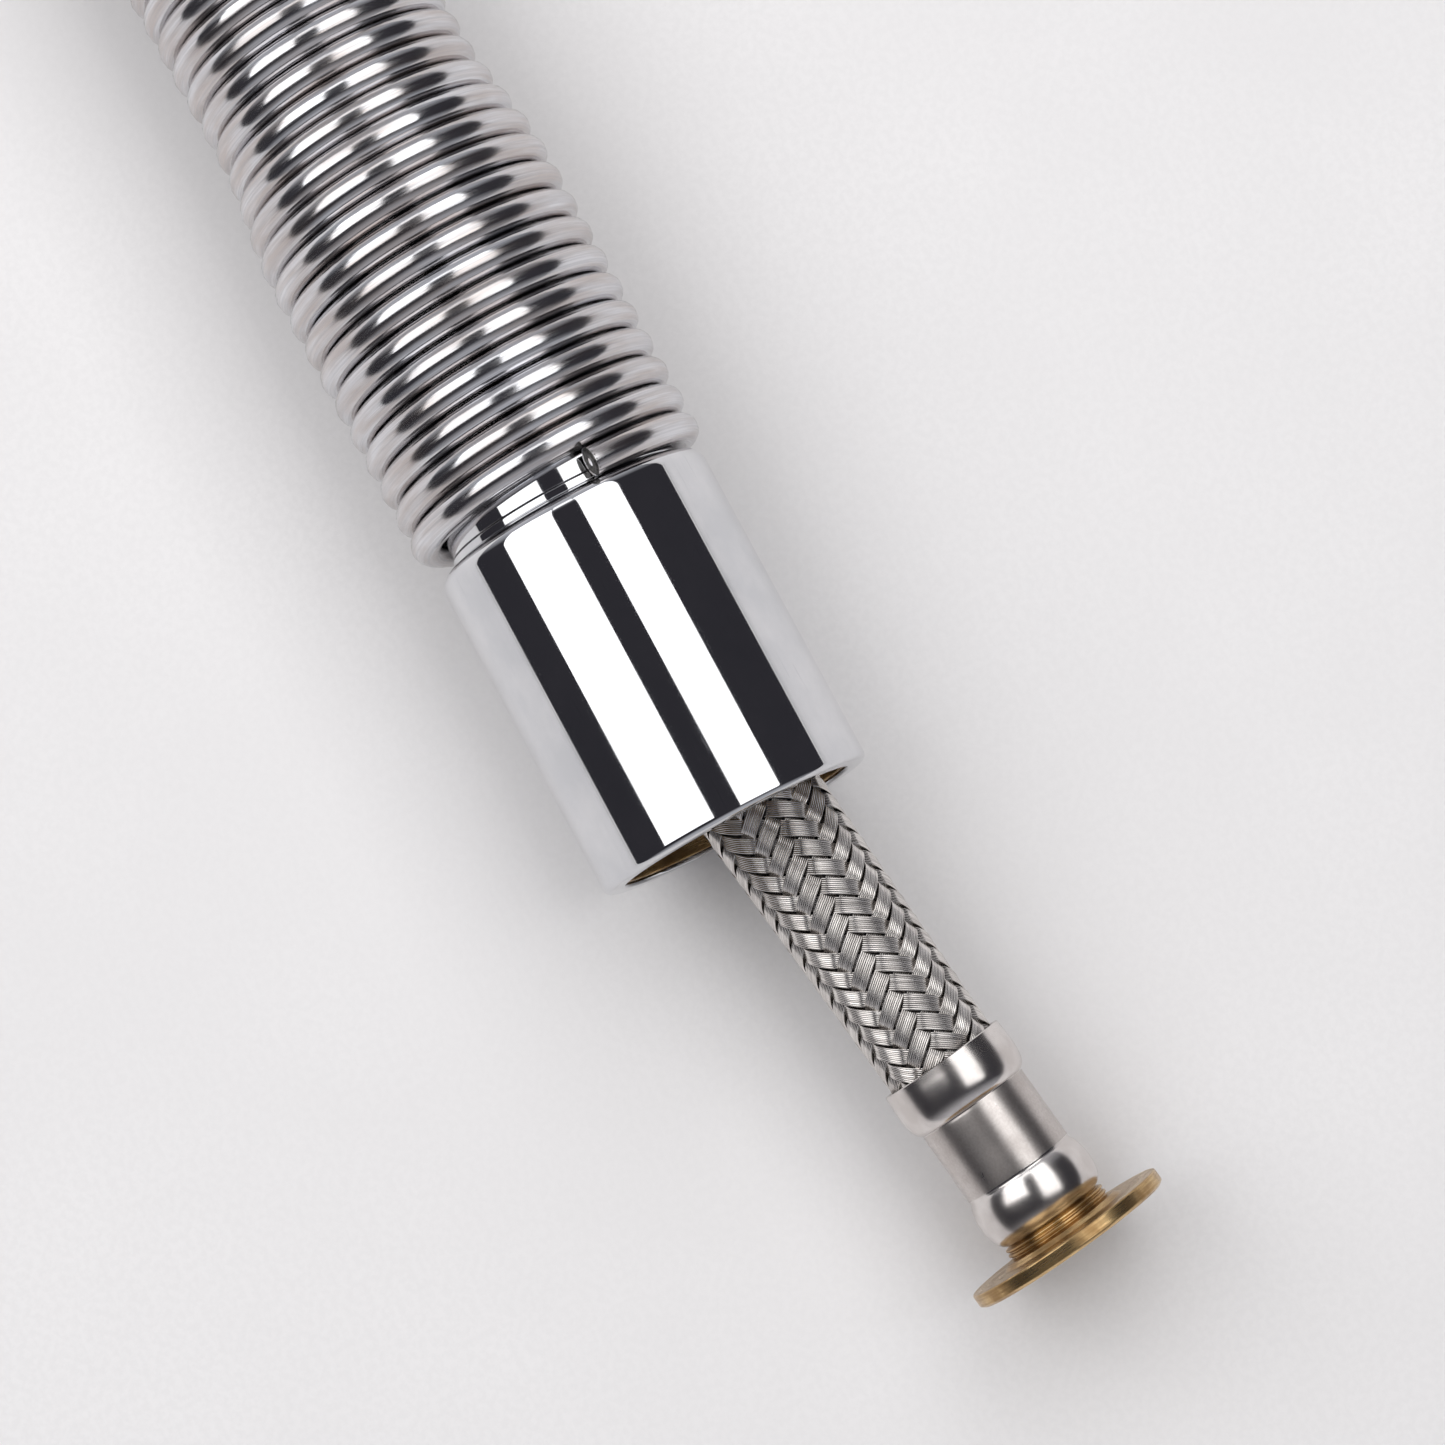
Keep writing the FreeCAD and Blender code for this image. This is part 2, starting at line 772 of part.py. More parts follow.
def handle():
    bodyTop = s.coreLength
    body = turned(
        "handle_core",
        [
            (s.upperShankRadius + s.runningFit, 0),
            (s.coreRadius, 0),
            (s.coreRadius, bodyTop),
            (s.coreShankRadius, bodyTop),
            (s.coreShankRadius, bodyTop + s.coreShankLength),
            (s.coreBore, bodyTop + s.coreShankLength),
            (s.coreBore, coreSocketDepth + s.swivelSpigotLength + s.softGap),
            (s.swivelSpigotRadius + s.runningFit, coreSocketDepth + s.swivelSpigotLength + s.softGap),
            (s.swivelSpigotRadius + s.runningFit, coreSocketDepth),
            (s.upperShankRadius + s.runningFit, coreSocketDepth),
        ],
    )
    keep(body, "handle_core", at(z=coreStart.value))

    sleeve = s.coreRadius + s.runningFit
    gripLow = s.lowerCollarLength + s.ringGap
    grip = turned(
        "grip_sleeve",
        [
            (sleeve, 0),
            (s.gripEndRadius, 0),
            (s.gripRadius, s.gripTaper),
            (s.gripRadius, s.gripLength - s.gripTaper),
            (s.gripEndRadius, s.gripLength),
            (sleeve, s.gripLength),
        ],
    )
    keep(grip, "grip_sleeve", at(z=(coreStart + gripLow).value))

    trim = ring("upper_ring", sleeve, s.upperRingRadius, s.upperRingLength)
    keep(trim, "upper_ring", at(z=(coreStart + gripLow + s.gripLength + s.ringGap).value))

    collar = ring("lower_collar_ring", sleeve, s.lowerCollarRadius, s.lowerCollarLength)
    lug = primitive(
        "Part::Box",
        "bail_lug",
        at(-s.lugWidth.value / 2, -s.lugReach.value, 0),
        Length=s.lugWidth,
        Width=s.lugReach - s.lugInner,
        Height=s.lowerCollarLength,
    )
    hole = primitive(
        "Part::Cylinder",
        "bail_hole",
        at(-s.lugWidth.value, -s.bailPivotSide.value, s.lowerCollarLength.value / 2, (0, 1, 0), 90),
        Radius=s.bailWire / 2 + s.runningFit,
        Height=s.lugWidth * 2,
    )
    drilled = cut("lower_collar", joined("collar_with_lug", [collar, lug]), hole)
    keep(drilled, "lower_collar", at(z=coreStart.value))


# Head frame: Z along the barrel towards the spray face, Y towards the handle, X up

headPlace = at(z=headCentre.value, axis=(1, 0, 0), angle=-90)


def inHead(x=0.0, y=0.0, z=0.0, axis=(0, 0, 1), angle=0.0):
    return headPlace.multiply(at(x, y, z, axis, angle))


def valveBody():
    # The barrel is turned from its rear end, so every height here is from there.
    rear = s.barrelRear
    front = rear + s.barrelFront
    barrel = turned(
        "valve_barrel",
        [
            (s.bonnetSocket, 0),
            (s.barrelRadius, 0),
            (s.barrelRadius, front),
            (s.frontThreadRadius, front),
            (s.frontThreadRadius, front + s.frontThreadLength),
            (s.frontBore, front + s.frontThreadLength),
            (s.frontBore, rear + s.webFront),
            (s.seatBore, rear + s.webFront),
            (s.seatBore, rear + s.webRear),
            (s.chamberRadius, rear + s.webRear),
            (s.chamberRadius, s.bonnetSocketDepth),
            (s.bonnetSocket, s.bonnetSocketDepth),
        ],
    )
    towardsHandle = ((1, 0, 0), -90)
    middle = rear.value
    neck = primitive(
        "Part::Cylinder",
        "valve_neck",
        at(0, s.chamberRadius.value + 1, middle, *towardsHandle),
        Radius=s.bodyNeckRadius,
        Height=s.headOffset - s.chamberRadius - 1,
    )
    socketLow = s.headOffset - s.coreShankLength - s.neckGasketThick - s.slipGap
    socket = primitive(
        "Part::Cylinder",
        "neck_socket",
        at(0, socketLow.value, middle, *towardsHandle),
        Radius=s.coreShankRadius + s.runningFit,
        Height=s.headOffset,
    )
    waterway = primitive(
        "Part::Cylinder",
        "neck_waterway",
        at(0, s.chamberRadius.value / 2, middle, *towardsHandle),
        Radius=s.waterwayRadius,
        Height=s.headOffset,
    )
    clearing = primitive(
        "Part::Cylinder",
        "chamber_clearing",
        at(0, 0, s.bonnetSocketDepth.value),
        Radius=s.chamberRadius,
        Height=rear + s.webRear - s.bonnetSocketDepth,
    )
    frontClearing = primitive(
        "Part::Cylinder",
        "front_clearing",
        at(0, 0, (rear + s.webFront).value),
        Radius=s.frontBore,
        Height=s.headOffset,
    )
    rearClearing = primitive(
        "Part::Cylinder",
        "rear_clearing",
        at(0, 0, 0),
        Radius=s.bonnetSocket,
        Height=s.bonnetSocketDepth,
    )
    solid = joined("valve_solid", [barrel, neck])
    bores = joined("valve_bores", [socket, waterway, clearing, frontClearing, rearClearing])
    keep(cut("valve_body", solid, bores), "valve_body", inHead(z=-rear.value))

    gasket = ring("neck_gasket", s.waterwayRadius + s.slipGap, s.coreShankRadius, s.neckGasketThick)
    keep(gasket, "neck_gasket", at(z=(coreEnd + s.coreShankLength + s.slipGap).value))


def hexagon(name, radius, length):
    prism = primitive("Part::Prism", name, at(), Circumradius=radius, Height=length)
    prism.Polygon = 6
    return prism


def crossHole(name, radius, y, z, reach):
    # A drill along X through the place (y, z), long enough for both sides.
    place = at(-reach.value, y, z, (0, 1, 0), 90)
    return primitive("Part::Cylinder", name, place, Radius=radius, Height=reach * 2)


def bonnet():
    # Turned from the rear face of its boss, with two ears that carry the lever's pin.
    flangeLow = s.bonnetBossLength
    flangeHigh = flangeLow + s.bonnetFlangeThick
    top = flangeHigh + s.bonnetGasketThick + s.bonnetShankLength
    body = turned(
        "bonnet_turning",
        [
            (s.stemRadius + s.runningFit, s.packingDepth),
            (s.packingBore, s.packingDepth),
            (s.packingBore, 0),
            (s.bonnetBossRadius, 0),
            (s.bonnetBossRadius, flangeLow),
            (s.headRadius, flangeLow),
            (s.headRadius, flangeHigh),
            (s.bonnetSocket - s.runningFit, flangeHigh),
            (s.bonnetSocket - s.runningFit, top),
            (s.bonnetShankBore, top),
            (s.bonnetShankBore, flangeHigh),
            (s.stemRadius + s.runningFit, flangeHigh),
        ],
    )
    rear = bonnetRear
    pinHeight = rear - s.pivotBehind
    pieces = [body]
    for side, low in (("left", ZERO - s.earInner - s.earThick), ("right", s.earInner)):
        pieces.append(
            primitive(
                "Part::Box",
                "ear_plate_" + side,
                at(low.value, -(s.pivotAbove + s.earRound).value, pinHeight.value),
                Length=s.earThick,
                Width=s.earRound * 2,
                Height=flangeLow + s.bonnetFlangeThick / 2 - pinHeight,
            )
        )
        pieces.append(
            primitive(
                "Part::Cylinder",
                "ear_round_" + side,
                at(low.value, -s.pivotAbove.value, pinHeight.value, (0, 1, 0), 90),
                Radius=s.earRound,
                Height=s.earThick,
            )
        )
    hole = crossHole("ear_holes", s.pinRadius, -s.pivotAbove.value, pinHeight.value, s.headRadius)
    drilled = cut("bonnet", joined("bonnet_with_ears", pieces), hole)
    keep(drilled, "bonnet", inHead(z=-rear.value))

    gasket = ring("bonnet_gasket", s.bonnetSocket, s.barrelRadius, s.bonnetGasketThick)
    keep(gasket, "bonnet_gasket", inHead(z=-(s.barrelRear + s.bonnetGasketThick).value))

    section = (s.packingBore - s.stemRadius) / 2 - s.seatGap
    packing = primitive(
        "Part::Torus",
        "stem_o_ring",
        at(),
        Radius1=(s.packingBore + s.stemRadius) / 2,
        Radius2=section,
    )
    glandTop = s.glandHeadThick + s.slipGap + s.glandShankLength
    packingHeight = rear - s.packingDepth + section + s.seatGap
    keep(packing, "stem_o_ring", inHead(z=-packingHeight.value))

    shank = primitive(
        "Part::Cylinder",
        "gland_shank",
        at(),
        Radius=s.packingBore - s.runningFit,
        Height=glandTop,
    )
    solid = joined("gland_solid", [shank, hexagon("gland_hex", s.glandHexRadius, s.glandHeadThick)])
    bore = primitive(
        "Part::Cylinder",
        "gland_bore",
        at(z=-1),
        Radius=s.stemRadius + s.runningFit,
        Height=glandTop + 2,
    )
    place = inHead(z=-(rear + s.slipGap + s.glandHeadThick).value)
    keep(cut("gland_nut", solid, bore), "gland_nut", place)


# The rear face of the bonnet's boss, behind the middle of the barrel
bonnetRear = s.barrelRear + s.bonnetGasketThick + s.bonnetFlangeThick + s.bonnetBossLength


def stemGroup():
    rear = s.stemRearReach
    collarLow = rear - s.stemCollarPlace
    body = turned(
        "stem",
        [
            (0, 0),
            (s.stemRadius - s.stemChamfer, 0),
            (s.stemRadius, s.stemChamfer),
            (s.stemRadius, collarLow),
            (s.stemCollarRadius, collarLow),
            (s.stemCollarRadius, collarLow + s.stemCollarThick),
            (s.stemRadius, collarLow + s.stemCollarThick),
            (s.stemRadius, rear + s.stemFrontReach),
            (0, rear + s.stemFrontReach),
        ],
    )
    keep(body, "stem", inHead(z=-rear.value))

    hole = s.stemRadius
    washer = ring("seat_washer", hole, s.washerRadius, s.washerThick)
    washerPlace = s.webFront + s.seatGap
    keep(washer, "seat_washer", inHead(z=washerPlace.value))

    poppetPlace = washerPlace + s.washerThick
    poppet = ring("poppet_disc", hole, s.poppetRadius, s.poppetThick)
    keep(poppet, "poppet_disc", inHead(z=poppetPlace.value))

    nutHole = primitive(
        "Part::Cylinder", "poppet_nut_hole", at(z=-1), Radius=hole, Height=s.poppetNutThick + 2
    )
    block = hexagon("poppet_nut_hex", s.poppetNutRadius, s.poppetNutThick)
    place = inHead(z=(poppetPlace + s.poppetThick).value)
    keep(cut("poppet_nut", block, nutHole), "poppet_nut", place)


def returnSpring():
    # Wound between the collar on the stem and the web around the seat.
    wire = s.returnWire.value
    low = s.stemCollarThick + s.slipGap - s.stemCollarPlace + s.returnWire / 2
    high = s.webRear - s.slipGap - s.returnWire / 2
    turns = s.returnTurns.value
    pitch = (high - low).value / turns

    def radiusAt(turn):
        return s.returnRadius.value

    stations, arcs = coil(turns, pitch, 0.0, radiusAt)
    keep(wound("return_spring", arcs, stations[0], wire), "return_spring", inHead(z=low.value))


# Lever, pin and bail


def lever():
    # The outline is drawn across the head: Y towards the handle, height along the barrel.
    inner = ZERO - s.stemRearReach - s.seatGap
    outer = inner - s.leverSheet
    knee = ZERO - s.leverKneeDepth
    tip = ZERO - s.leverTipDepth
    top = ZERO - s.pivotAbove - s.leverTopReach
    cheekHalf = s.earInner + s.earThick + s.leverCheekGap + s.leverSheet

    body = doc.addObject("PartDesign::Body", "lever")
    cheeks = newSketch(body, "YZ_Plane")
    drawOutline(
        cheeks,
        [
            (top, outer),
            (s.leverKneeStart, outer),
            (s.leverKneeStart, inner + s.leverLip),
            (ZERO - s.pivotAbove + s.leverCheekRound, ZERO - s.pivotBehind + s.leverCheekRound),
            (top, ZERO - s.pivotBehind + s.leverCheekRound),
        ],
    )
    pad(body, cheeks, cheekHalf * 2)
    between = newSketch(body, "YZ_Plane")
    drawOutline(
        between,
        [
            (top - s.leverSheet, inner),
            (s.leverKneeStart + s.leverSheet, inner),
            (s.leverKneeStart + s.leverSheet, ZERO),
            (top - s.leverSheet, ZERO),
        ],
    )
    pocket(body, between, (cheekHalf - s.leverSheet) * 2)
    doc.recompute()

    channel = newSketch(body, "YZ_Plane")
    drawOutline(
        channel,
        [
            (s.leverKneeStart, outer),
            (s.leverKneeEnd, knee - s.leverSheet),
            (s.leverTip, tip - s.leverSheet),
            (s.leverTip, tip + s.leverLip),
            (s.leverKneeEnd, knee + s.leverLip),
            (s.leverKneeStart, inner + s.leverLip),
        ],
    )
    pad(body, channel, s.leverWidth)
    trough = newSketch(body, "YZ_Plane")
    drawOutline(
        trough,
        [
            (s.leverKneeStart - s.leverSheet, inner),
            (s.leverKneeStart, inner),
            (s.leverKneeEnd, knee),
            (s.leverTip - s.leverSheet, tip),
            (s.leverTip - s.leverSheet, tip + s.leverLip * 2),
            (s.leverKneeEnd, knee + s.leverLip * 2),
            (s.leverKneeStart - s.leverSheet, inner + s.leverLip * 2),
        ],
    )
    pocket(body, trough, s.leverWidth - s.leverSheet * 2)
    holes = newSketch(body, "YZ_Plane")
    pinHole = s.pinRadius + s.runningFit
    drawCircle(holes, ZERO - s.pivotAbove, ZERO - s.pivotBehind, pinHole)
    pocket(body, holes, cheekHalf * 4)
    keep(body, "lever", headPlace)

    half = cheekHalf + s.ringGap + s.clipThick + s.pinRadius / 2
    pin = primitive("Part::Cylinder", "lever_pin", at(), Radius=s.pinRadius, Height=half * 2)
    pinPlace = (-s.pivotAbove.value, -s.pivotBehind.value, (0, 1, 0), 90)
    keep(pin, "lever_pin", inHead(-half.value, *pinPlace))

    clips = []
    clipLow = cheekHalf + s.ringGap
    for side, low in (("left", clipLow), ("right", ZERO - clipLow - s.clipThick)):
        disc = primitive(
            "Part::Cylinder", "clip_disc_" + side, at(z=low.value), Radius=s.clipRadius, Height=s.clipThick
        )
        hole = primitive(
            "Part::Cylinder",
            "clip_hole_" + side,
            at(z=low.value),
            Radius=s.pinRadius + s.seatGap,
            Height=s.clipThick,
        )
        slot = primitive(
            "Part::Box",
            "clip_slot_" + side,
            at(0, -s.pinRadius.value / 2, low.value),
            Length=s.clipRadius * 2,
            Width=s.pinRadius,
            Height=s.clipThick,
        )
        clips.append(cut("pin_clip_" + side, disc, joined("clip_cut_" + side, [hole, slot])))
    keep(grouped("pin_clips", clips), "pin_clips", inHead(0, *pinPlace))


def bail():
    # A wire loop: two stubs in the collar's lug, two legs and a cross run, joined by bends.
    half = s.bailHalfWidth.value
    stubEnd = s.lugWidth.value / 2 - s.bailStub.value
    reach = s.bailReach.value
    bendRadius = s.bailBend.value
    corners = [(half, 0.0), (half, -reach), (-half, -reach), (-half, 0.0)]
    points = [FreeCAD.Vector(x, 0, z) for x, z in [(stubEnd, 0.0)] + corners + [(-stubEnd, 0.0)]]
    edges = []
    here = points[0]
    for before, corner, after in zip(points, points[1:], points[2:]):
        arrive = corner + (before - corner).normalize() * bendRadius
        leave = corner + (after - corner).normalize() * bendRadius
        edges.append(Part.LineSegment(here, arrive).toShape())
        centre = arrive + leave - corner
        middle = centre + (corner - centre).normalize() * bendRadius
        edges.append(Part.Arc(arrive, middle, leave).toShape())
        here = leave
    edges.append(Part.LineSegment(here, points[-1]).toShape())
    circle = Part.makeCircle(s.bailWire.value / 2, points[0], FreeCAD.Vector(1, 0, 0))
    loop = Part.Wire(edges).makePipeShell([Part.Wire([circle])], True, False)
    place = at(y=-s.bailPivotSide.value, z=(coreStart + s.lowerCollarLength / 2).value)
    keep(solidFeature("bail", loop), "bail", place)


# Spray bell, measured from its rear end


def sprayBell():
    threadLength = s.bellSocketDepth
    stepHeight = s.bellStep
    body = turned(
        "spray_bell",
        [
            (s.frontThreadRadius + s.runningFit, 0),
            (s.barrelRadius, 0),
            (s.bellRadius, s.bellFlare),
            (s.bellRadius, s.bellLength),
            (s.faceRadius + s.seatGap, s.bellLength),
            (s.faceRadius + s.seatGap, stepHeight),
            (s.bellCavity, stepHeight),
            (s.bellCavity, threadLength),
            (s.frontThreadRadius + s.runningFit, threadLength),
        ],
    )
    bellRear = s.barrelFront + s.ringGap
    keep(body, "spray_bell", inHead(z=bellRear.value))

    diffuserPlace = bellRear + stepHeight + s.seatGap
    disc = ring("diffuser_disc", s.screwRadius, s.faceRadius, s.diffuserThick)
    holes = []
    feedHoles = int(s.feedHoles.value)
    for number in range(feedHoles):
        angle = 2 * math.pi * number / feedHoles
        circle = s.feedHoleCircle.value
        place = at(circle * math.cos(angle), circle * math.sin(angle), -1)
        holes.append(
            primitive(
                "Part::Cylinder",
                "feed_hole_%d" % number,
                place,
                Radius=s.feedHoleRadius,
                Height=s.diffuserThick + 2,
            )
        )
    keep(cut("diffuser", disc, grouped("feed_holes", holes)), "diffuser", inHead(z=diffuserPlace.value))

    gasketPlace = diffuserPlace + s.diffuserThick
    gasket = ring("face_gasket", s.faceGasketBore, s.faceRadius, s.faceGasketThick)
    keep(gasket, "face_gasket", inHead(z=gasketPlace.value))

    facePlace = gasketPlace + s.faceGasketThick
    plate = ring("face_plate", s.screwRadius + s.slipGap, s.faceRadius, s.faceThick)
    jets = []
    for ringNumber in range(int(s.jetRings.value)):
        radius = s.jetRingFirst.value + s.jetRingStep.value * ringNumber
        count = int(s.jetsInFirstRing.value + s.jetsAddedPerRing.value * ringNumber)
        for number in range(count):
            angle = 2 * math.pi * number / count
            jets.append(
                primitive(
                    "Part::Cylinder",
                    "jet_%d_%d" % (ringNumber, number),
                    at(radius * math.cos(angle), radius * math.sin(angle), -1),
                    Radius=s.jetRadius,
                    Height=s.faceThick + 2,
                )
            )
    keep(cut("spray_face", plate, grouped("jets", jets)), "spray_face", inHead(z=facePlace.value))

    shankLength = s.faceThick + s.faceGasketThick + s.diffuserThick + s.slipGap
    screw = turned(
        "face_screw",
        [
            (0, 0),
            (s.screwRadius, 0),
            (s.screwRadius, shankLength),
            (s.screwHeadRadius, shankLength),
            (s.screwHeadRadius, shankLength + s.screwHeadThick / 2),
            (s.screwHeadRadius - s.screwHeadBevel, shankLength + s.screwHeadThick),
            (0, shankLength + s.screwHeadThick),
        ],
    )
    screwPlace = facePlace + s.faceThick + s.slipGap - shankLength
    keep(screw, "face_screw", inHead(z=screwPlace.value))

    lip = s.bumperLength - s.bumperLip
    bumper = turned(
        "bumper",
        [
            (s.bellRadius + s.seatGap, 0),
            (s.headRadius, 0),
            (s.headRadius, s.bumperLength),
            (s.bumperLipBore, s.bumperLength),
            (s.bumperLipBore, lip),
            (s.bellRadius + s.seatGap, lip),
        ],
    )
    bumperPlace = bellRear + s.bellLength + s.slipGap - lip
    keep(bumper, "bumper", inHead(z=bumperPlace.value))


# Build every sub-part, lay the sprayer down and write the files

inletTail()
ferrule("inlet_ferrule", bentTail.multiply(at(z=ferruleStart.value)))
ferrule("upper_ferrule", at(z=upperLipEnd.value, axis=(1, 0, 0), angle=180))
hose()
couplingNut()
lowerBush()
guardSpring()
upperBush()
swivelTail()
handle()
valveBody()
bonnet()
stemGroup()
returnSpring()
lever()
bail()
sprayBell()
doc.recompute()

# It rests on the lowest turn of the spring's inlet end and on the two rims of the head.
lowTurn = springStart + s.springPitch * (Size(180.0, "180") - s.springStartAngle) / 360
slope = math.asin((s.headRadius - s.springEndOuter).value / (headCentre - lowTurn).value)
lying = FreeCAD.Placement(
    FreeCAD.Vector(0, 0, 0), FreeCAD.Rotation(FreeCAD.Vector(0, 1, 0), math.degrees(slope) - 90)
)

for name, item, placement in subParts:
    item.Placement = lying.multiply(placement).multiply(item.Placement)
doc.recompute()

box = FreeCAD.BoundBox()
for name, item, placement in subParts:
    points, facets = item.Shape.tessellate(0.05)
    for point in points:
        box.add(point)
origin = FreeCAD.Vector(box.Center.x, box.Center.y, box.ZMin)
print("size %.2f x %.2f x %.2f mm" % (box.XLength, box.YLength, box.ZLength))
print("local origin moved by %.4f %.4f %.4f mm" % tuple(origin * -1))

for name, item, placement in subParts:
    item.Placement = FreeCAD.Placement(origin * -1, FreeCAD.Rotation()).multiply(item.Placement)
doc.recompute()

for item in doc.Objects:
    if "Invalid" in item.State or "Error" in item.State:
        raise RuntimeError("%s didn't build: %s" % (item.Label, item.State))
for name, item, placement in subParts:
    shape = item.Shape
    if shape.isNull() or not shape.isValid() or not shape.Solids:
        raise RuntimeError("%s has no valid solid" % name)
for name, item, placement in subParts:
    item.Shape.exportStep(os.path.join("parts", name + ".step"))
print("%d sub-parts written" % len(subParts))
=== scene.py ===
import json
import math
import bmesh
import bpy
from mathutils import Matrix, Vector


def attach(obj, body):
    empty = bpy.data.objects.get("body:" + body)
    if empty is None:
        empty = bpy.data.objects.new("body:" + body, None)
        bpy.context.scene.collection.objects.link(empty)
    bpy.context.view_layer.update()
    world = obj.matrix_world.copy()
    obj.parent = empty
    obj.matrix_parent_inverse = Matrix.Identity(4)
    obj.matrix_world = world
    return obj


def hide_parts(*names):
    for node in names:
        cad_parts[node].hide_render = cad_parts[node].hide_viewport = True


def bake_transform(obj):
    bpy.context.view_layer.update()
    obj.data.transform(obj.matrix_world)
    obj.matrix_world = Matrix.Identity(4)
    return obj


# Handheld bath sprayer: chrome guard spring and coupling nut, braided hose end with its brass tail,
# rubber grip, chrome valve body with a squeeze lever, and a spray face.

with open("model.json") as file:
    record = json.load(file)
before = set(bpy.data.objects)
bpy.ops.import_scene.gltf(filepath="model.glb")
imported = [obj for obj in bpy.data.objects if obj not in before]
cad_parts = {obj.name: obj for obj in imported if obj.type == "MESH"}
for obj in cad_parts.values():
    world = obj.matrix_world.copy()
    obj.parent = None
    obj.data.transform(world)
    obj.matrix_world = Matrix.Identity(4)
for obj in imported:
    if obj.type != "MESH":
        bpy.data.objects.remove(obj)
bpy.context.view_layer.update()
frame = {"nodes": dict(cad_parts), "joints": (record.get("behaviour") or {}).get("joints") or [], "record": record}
collection = bpy.context.scene.collection
mm = 0.001


# Camera at the photograph's place, 0.47 m above the table and looking almost straight down

cameraSet = {
    "lens": 116.17,
    "place": (0.25673, -0.00154, 0.47023),
    "right": (0.47149, 0.88116, -0.03541),
    "up": (-0.87515, 0.47247, 0.10431),
    "back": (0.10864, -0.0182, 0.99391),
}


def addCamera():
    lens = bpy.data.cameras.new("camera")
    lens.lens = cameraSet["lens"]
    lens.sensor_width = 36
    lens.clip_start = 0.01
    camera = bpy.data.objects.new("camera", lens)
    turn = Matrix([cameraSet[key] for key in ("right", "up", "back")]).transposed()
    camera.matrix_world = Matrix.Translation(cameraSet["place"]) @ turn.to_4x4()
    collection.objects.link(camera)
    bpy.context.scene.camera = camera


addCamera()
bpy.context.scene.view_settings.view_transform = "Standard"


# Places: the line of the hose, its bent tail and the head, each with its own Z along the turned pieces

joints = {joint["name"]: joint for joint in frame["joints"]}
mounts = {mount["name"]: mount for mount in frame["record"]["mounts"]}
along = Vector(joints["nut_spin"]["axis"]).normalized()
up = Vector(joints["lever_pivot"]["axis"]).normalized()
side = along.cross(up)
# heights along the hose in mm, from the sealing face of the flange with the tail straight
stations = {
    "mouth": 52.1,
    "bend": 78.8,
    "springStart": 89.9,
    "springEnd": 351.98,
    "upperCollar": 353.53,
    "coreStart": 357.23,
    "upperLipEnd": 370.43,
    "headCentre": 513.73,
}


def placeOf(origin, acrossX, acrossY, alongZ):
    place = Matrix((acrossX, acrossY, alongZ)).transposed().to_4x4()
    place.translation = origin
    return place


def pointOn(place, x=0.0, y=0.0, z=0.0):
    # a point given in mm on a place, in metres
    return place @ Vector((x * mm, y * mm, z * mm))


def shifted(place, y=0.0, z=0.0):
    return place @ Matrix.Translation((0, y * mm, z * mm))


mouthPoint = Vector(joints["nut_spin"]["pos_m"])
hoseLine = placeOf(mouthPoint - along * stations["mouth"] * mm, up, side, along)

tailBack = -Vector(mounts["inlet_flange"]["axis"]).normalized()
tailUp = (up - tailBack * up.dot(tailBack)).normalized()
bendPoint = Vector(joints["tail_flex"]["pos_m"])
tailStart = bendPoint - tailBack * stations["bend"] * mm
tailLine = placeOf(tailStart, tailUp, tailBack.cross(tailUp), tailBack)

headLine = placeOf(pointOn(hoseLine, z=stations["headCentre"]), up, -along, side)
print("places worked out from the joints")


# Helpers for node trees and colours

def linear(hexColour):
    channels = [int(hexColour[place:place + 2], 16) / 255 for place in (1, 3, 5)]
    made = [c / 12.92 if c <= 0.04045 else ((c + 0.055) / 1.055) ** 2.4 for c in channels]
    return (*made, 1.0)


def addNode(tree, kind, inputs=None, **settings):
    # adds a node; an input may be a value, a socket, or a node whose first output is meant
    node = tree.nodes.new(kind)
    for key, value in settings.items():
        setattr(node, key, value)
    for key, value in (inputs or {}).items():
        if isinstance(value, bpy.types.Node):
            value = value.outputs[0]
        if isinstance(value, bpy.types.NodeSocket):
            tree.links.new(value, node.inputs[key])
        else:
            node.inputs[key].default_value = value
    return node


plainLayer = {"detail": 2.0, "window": (0.38, 0.62)}


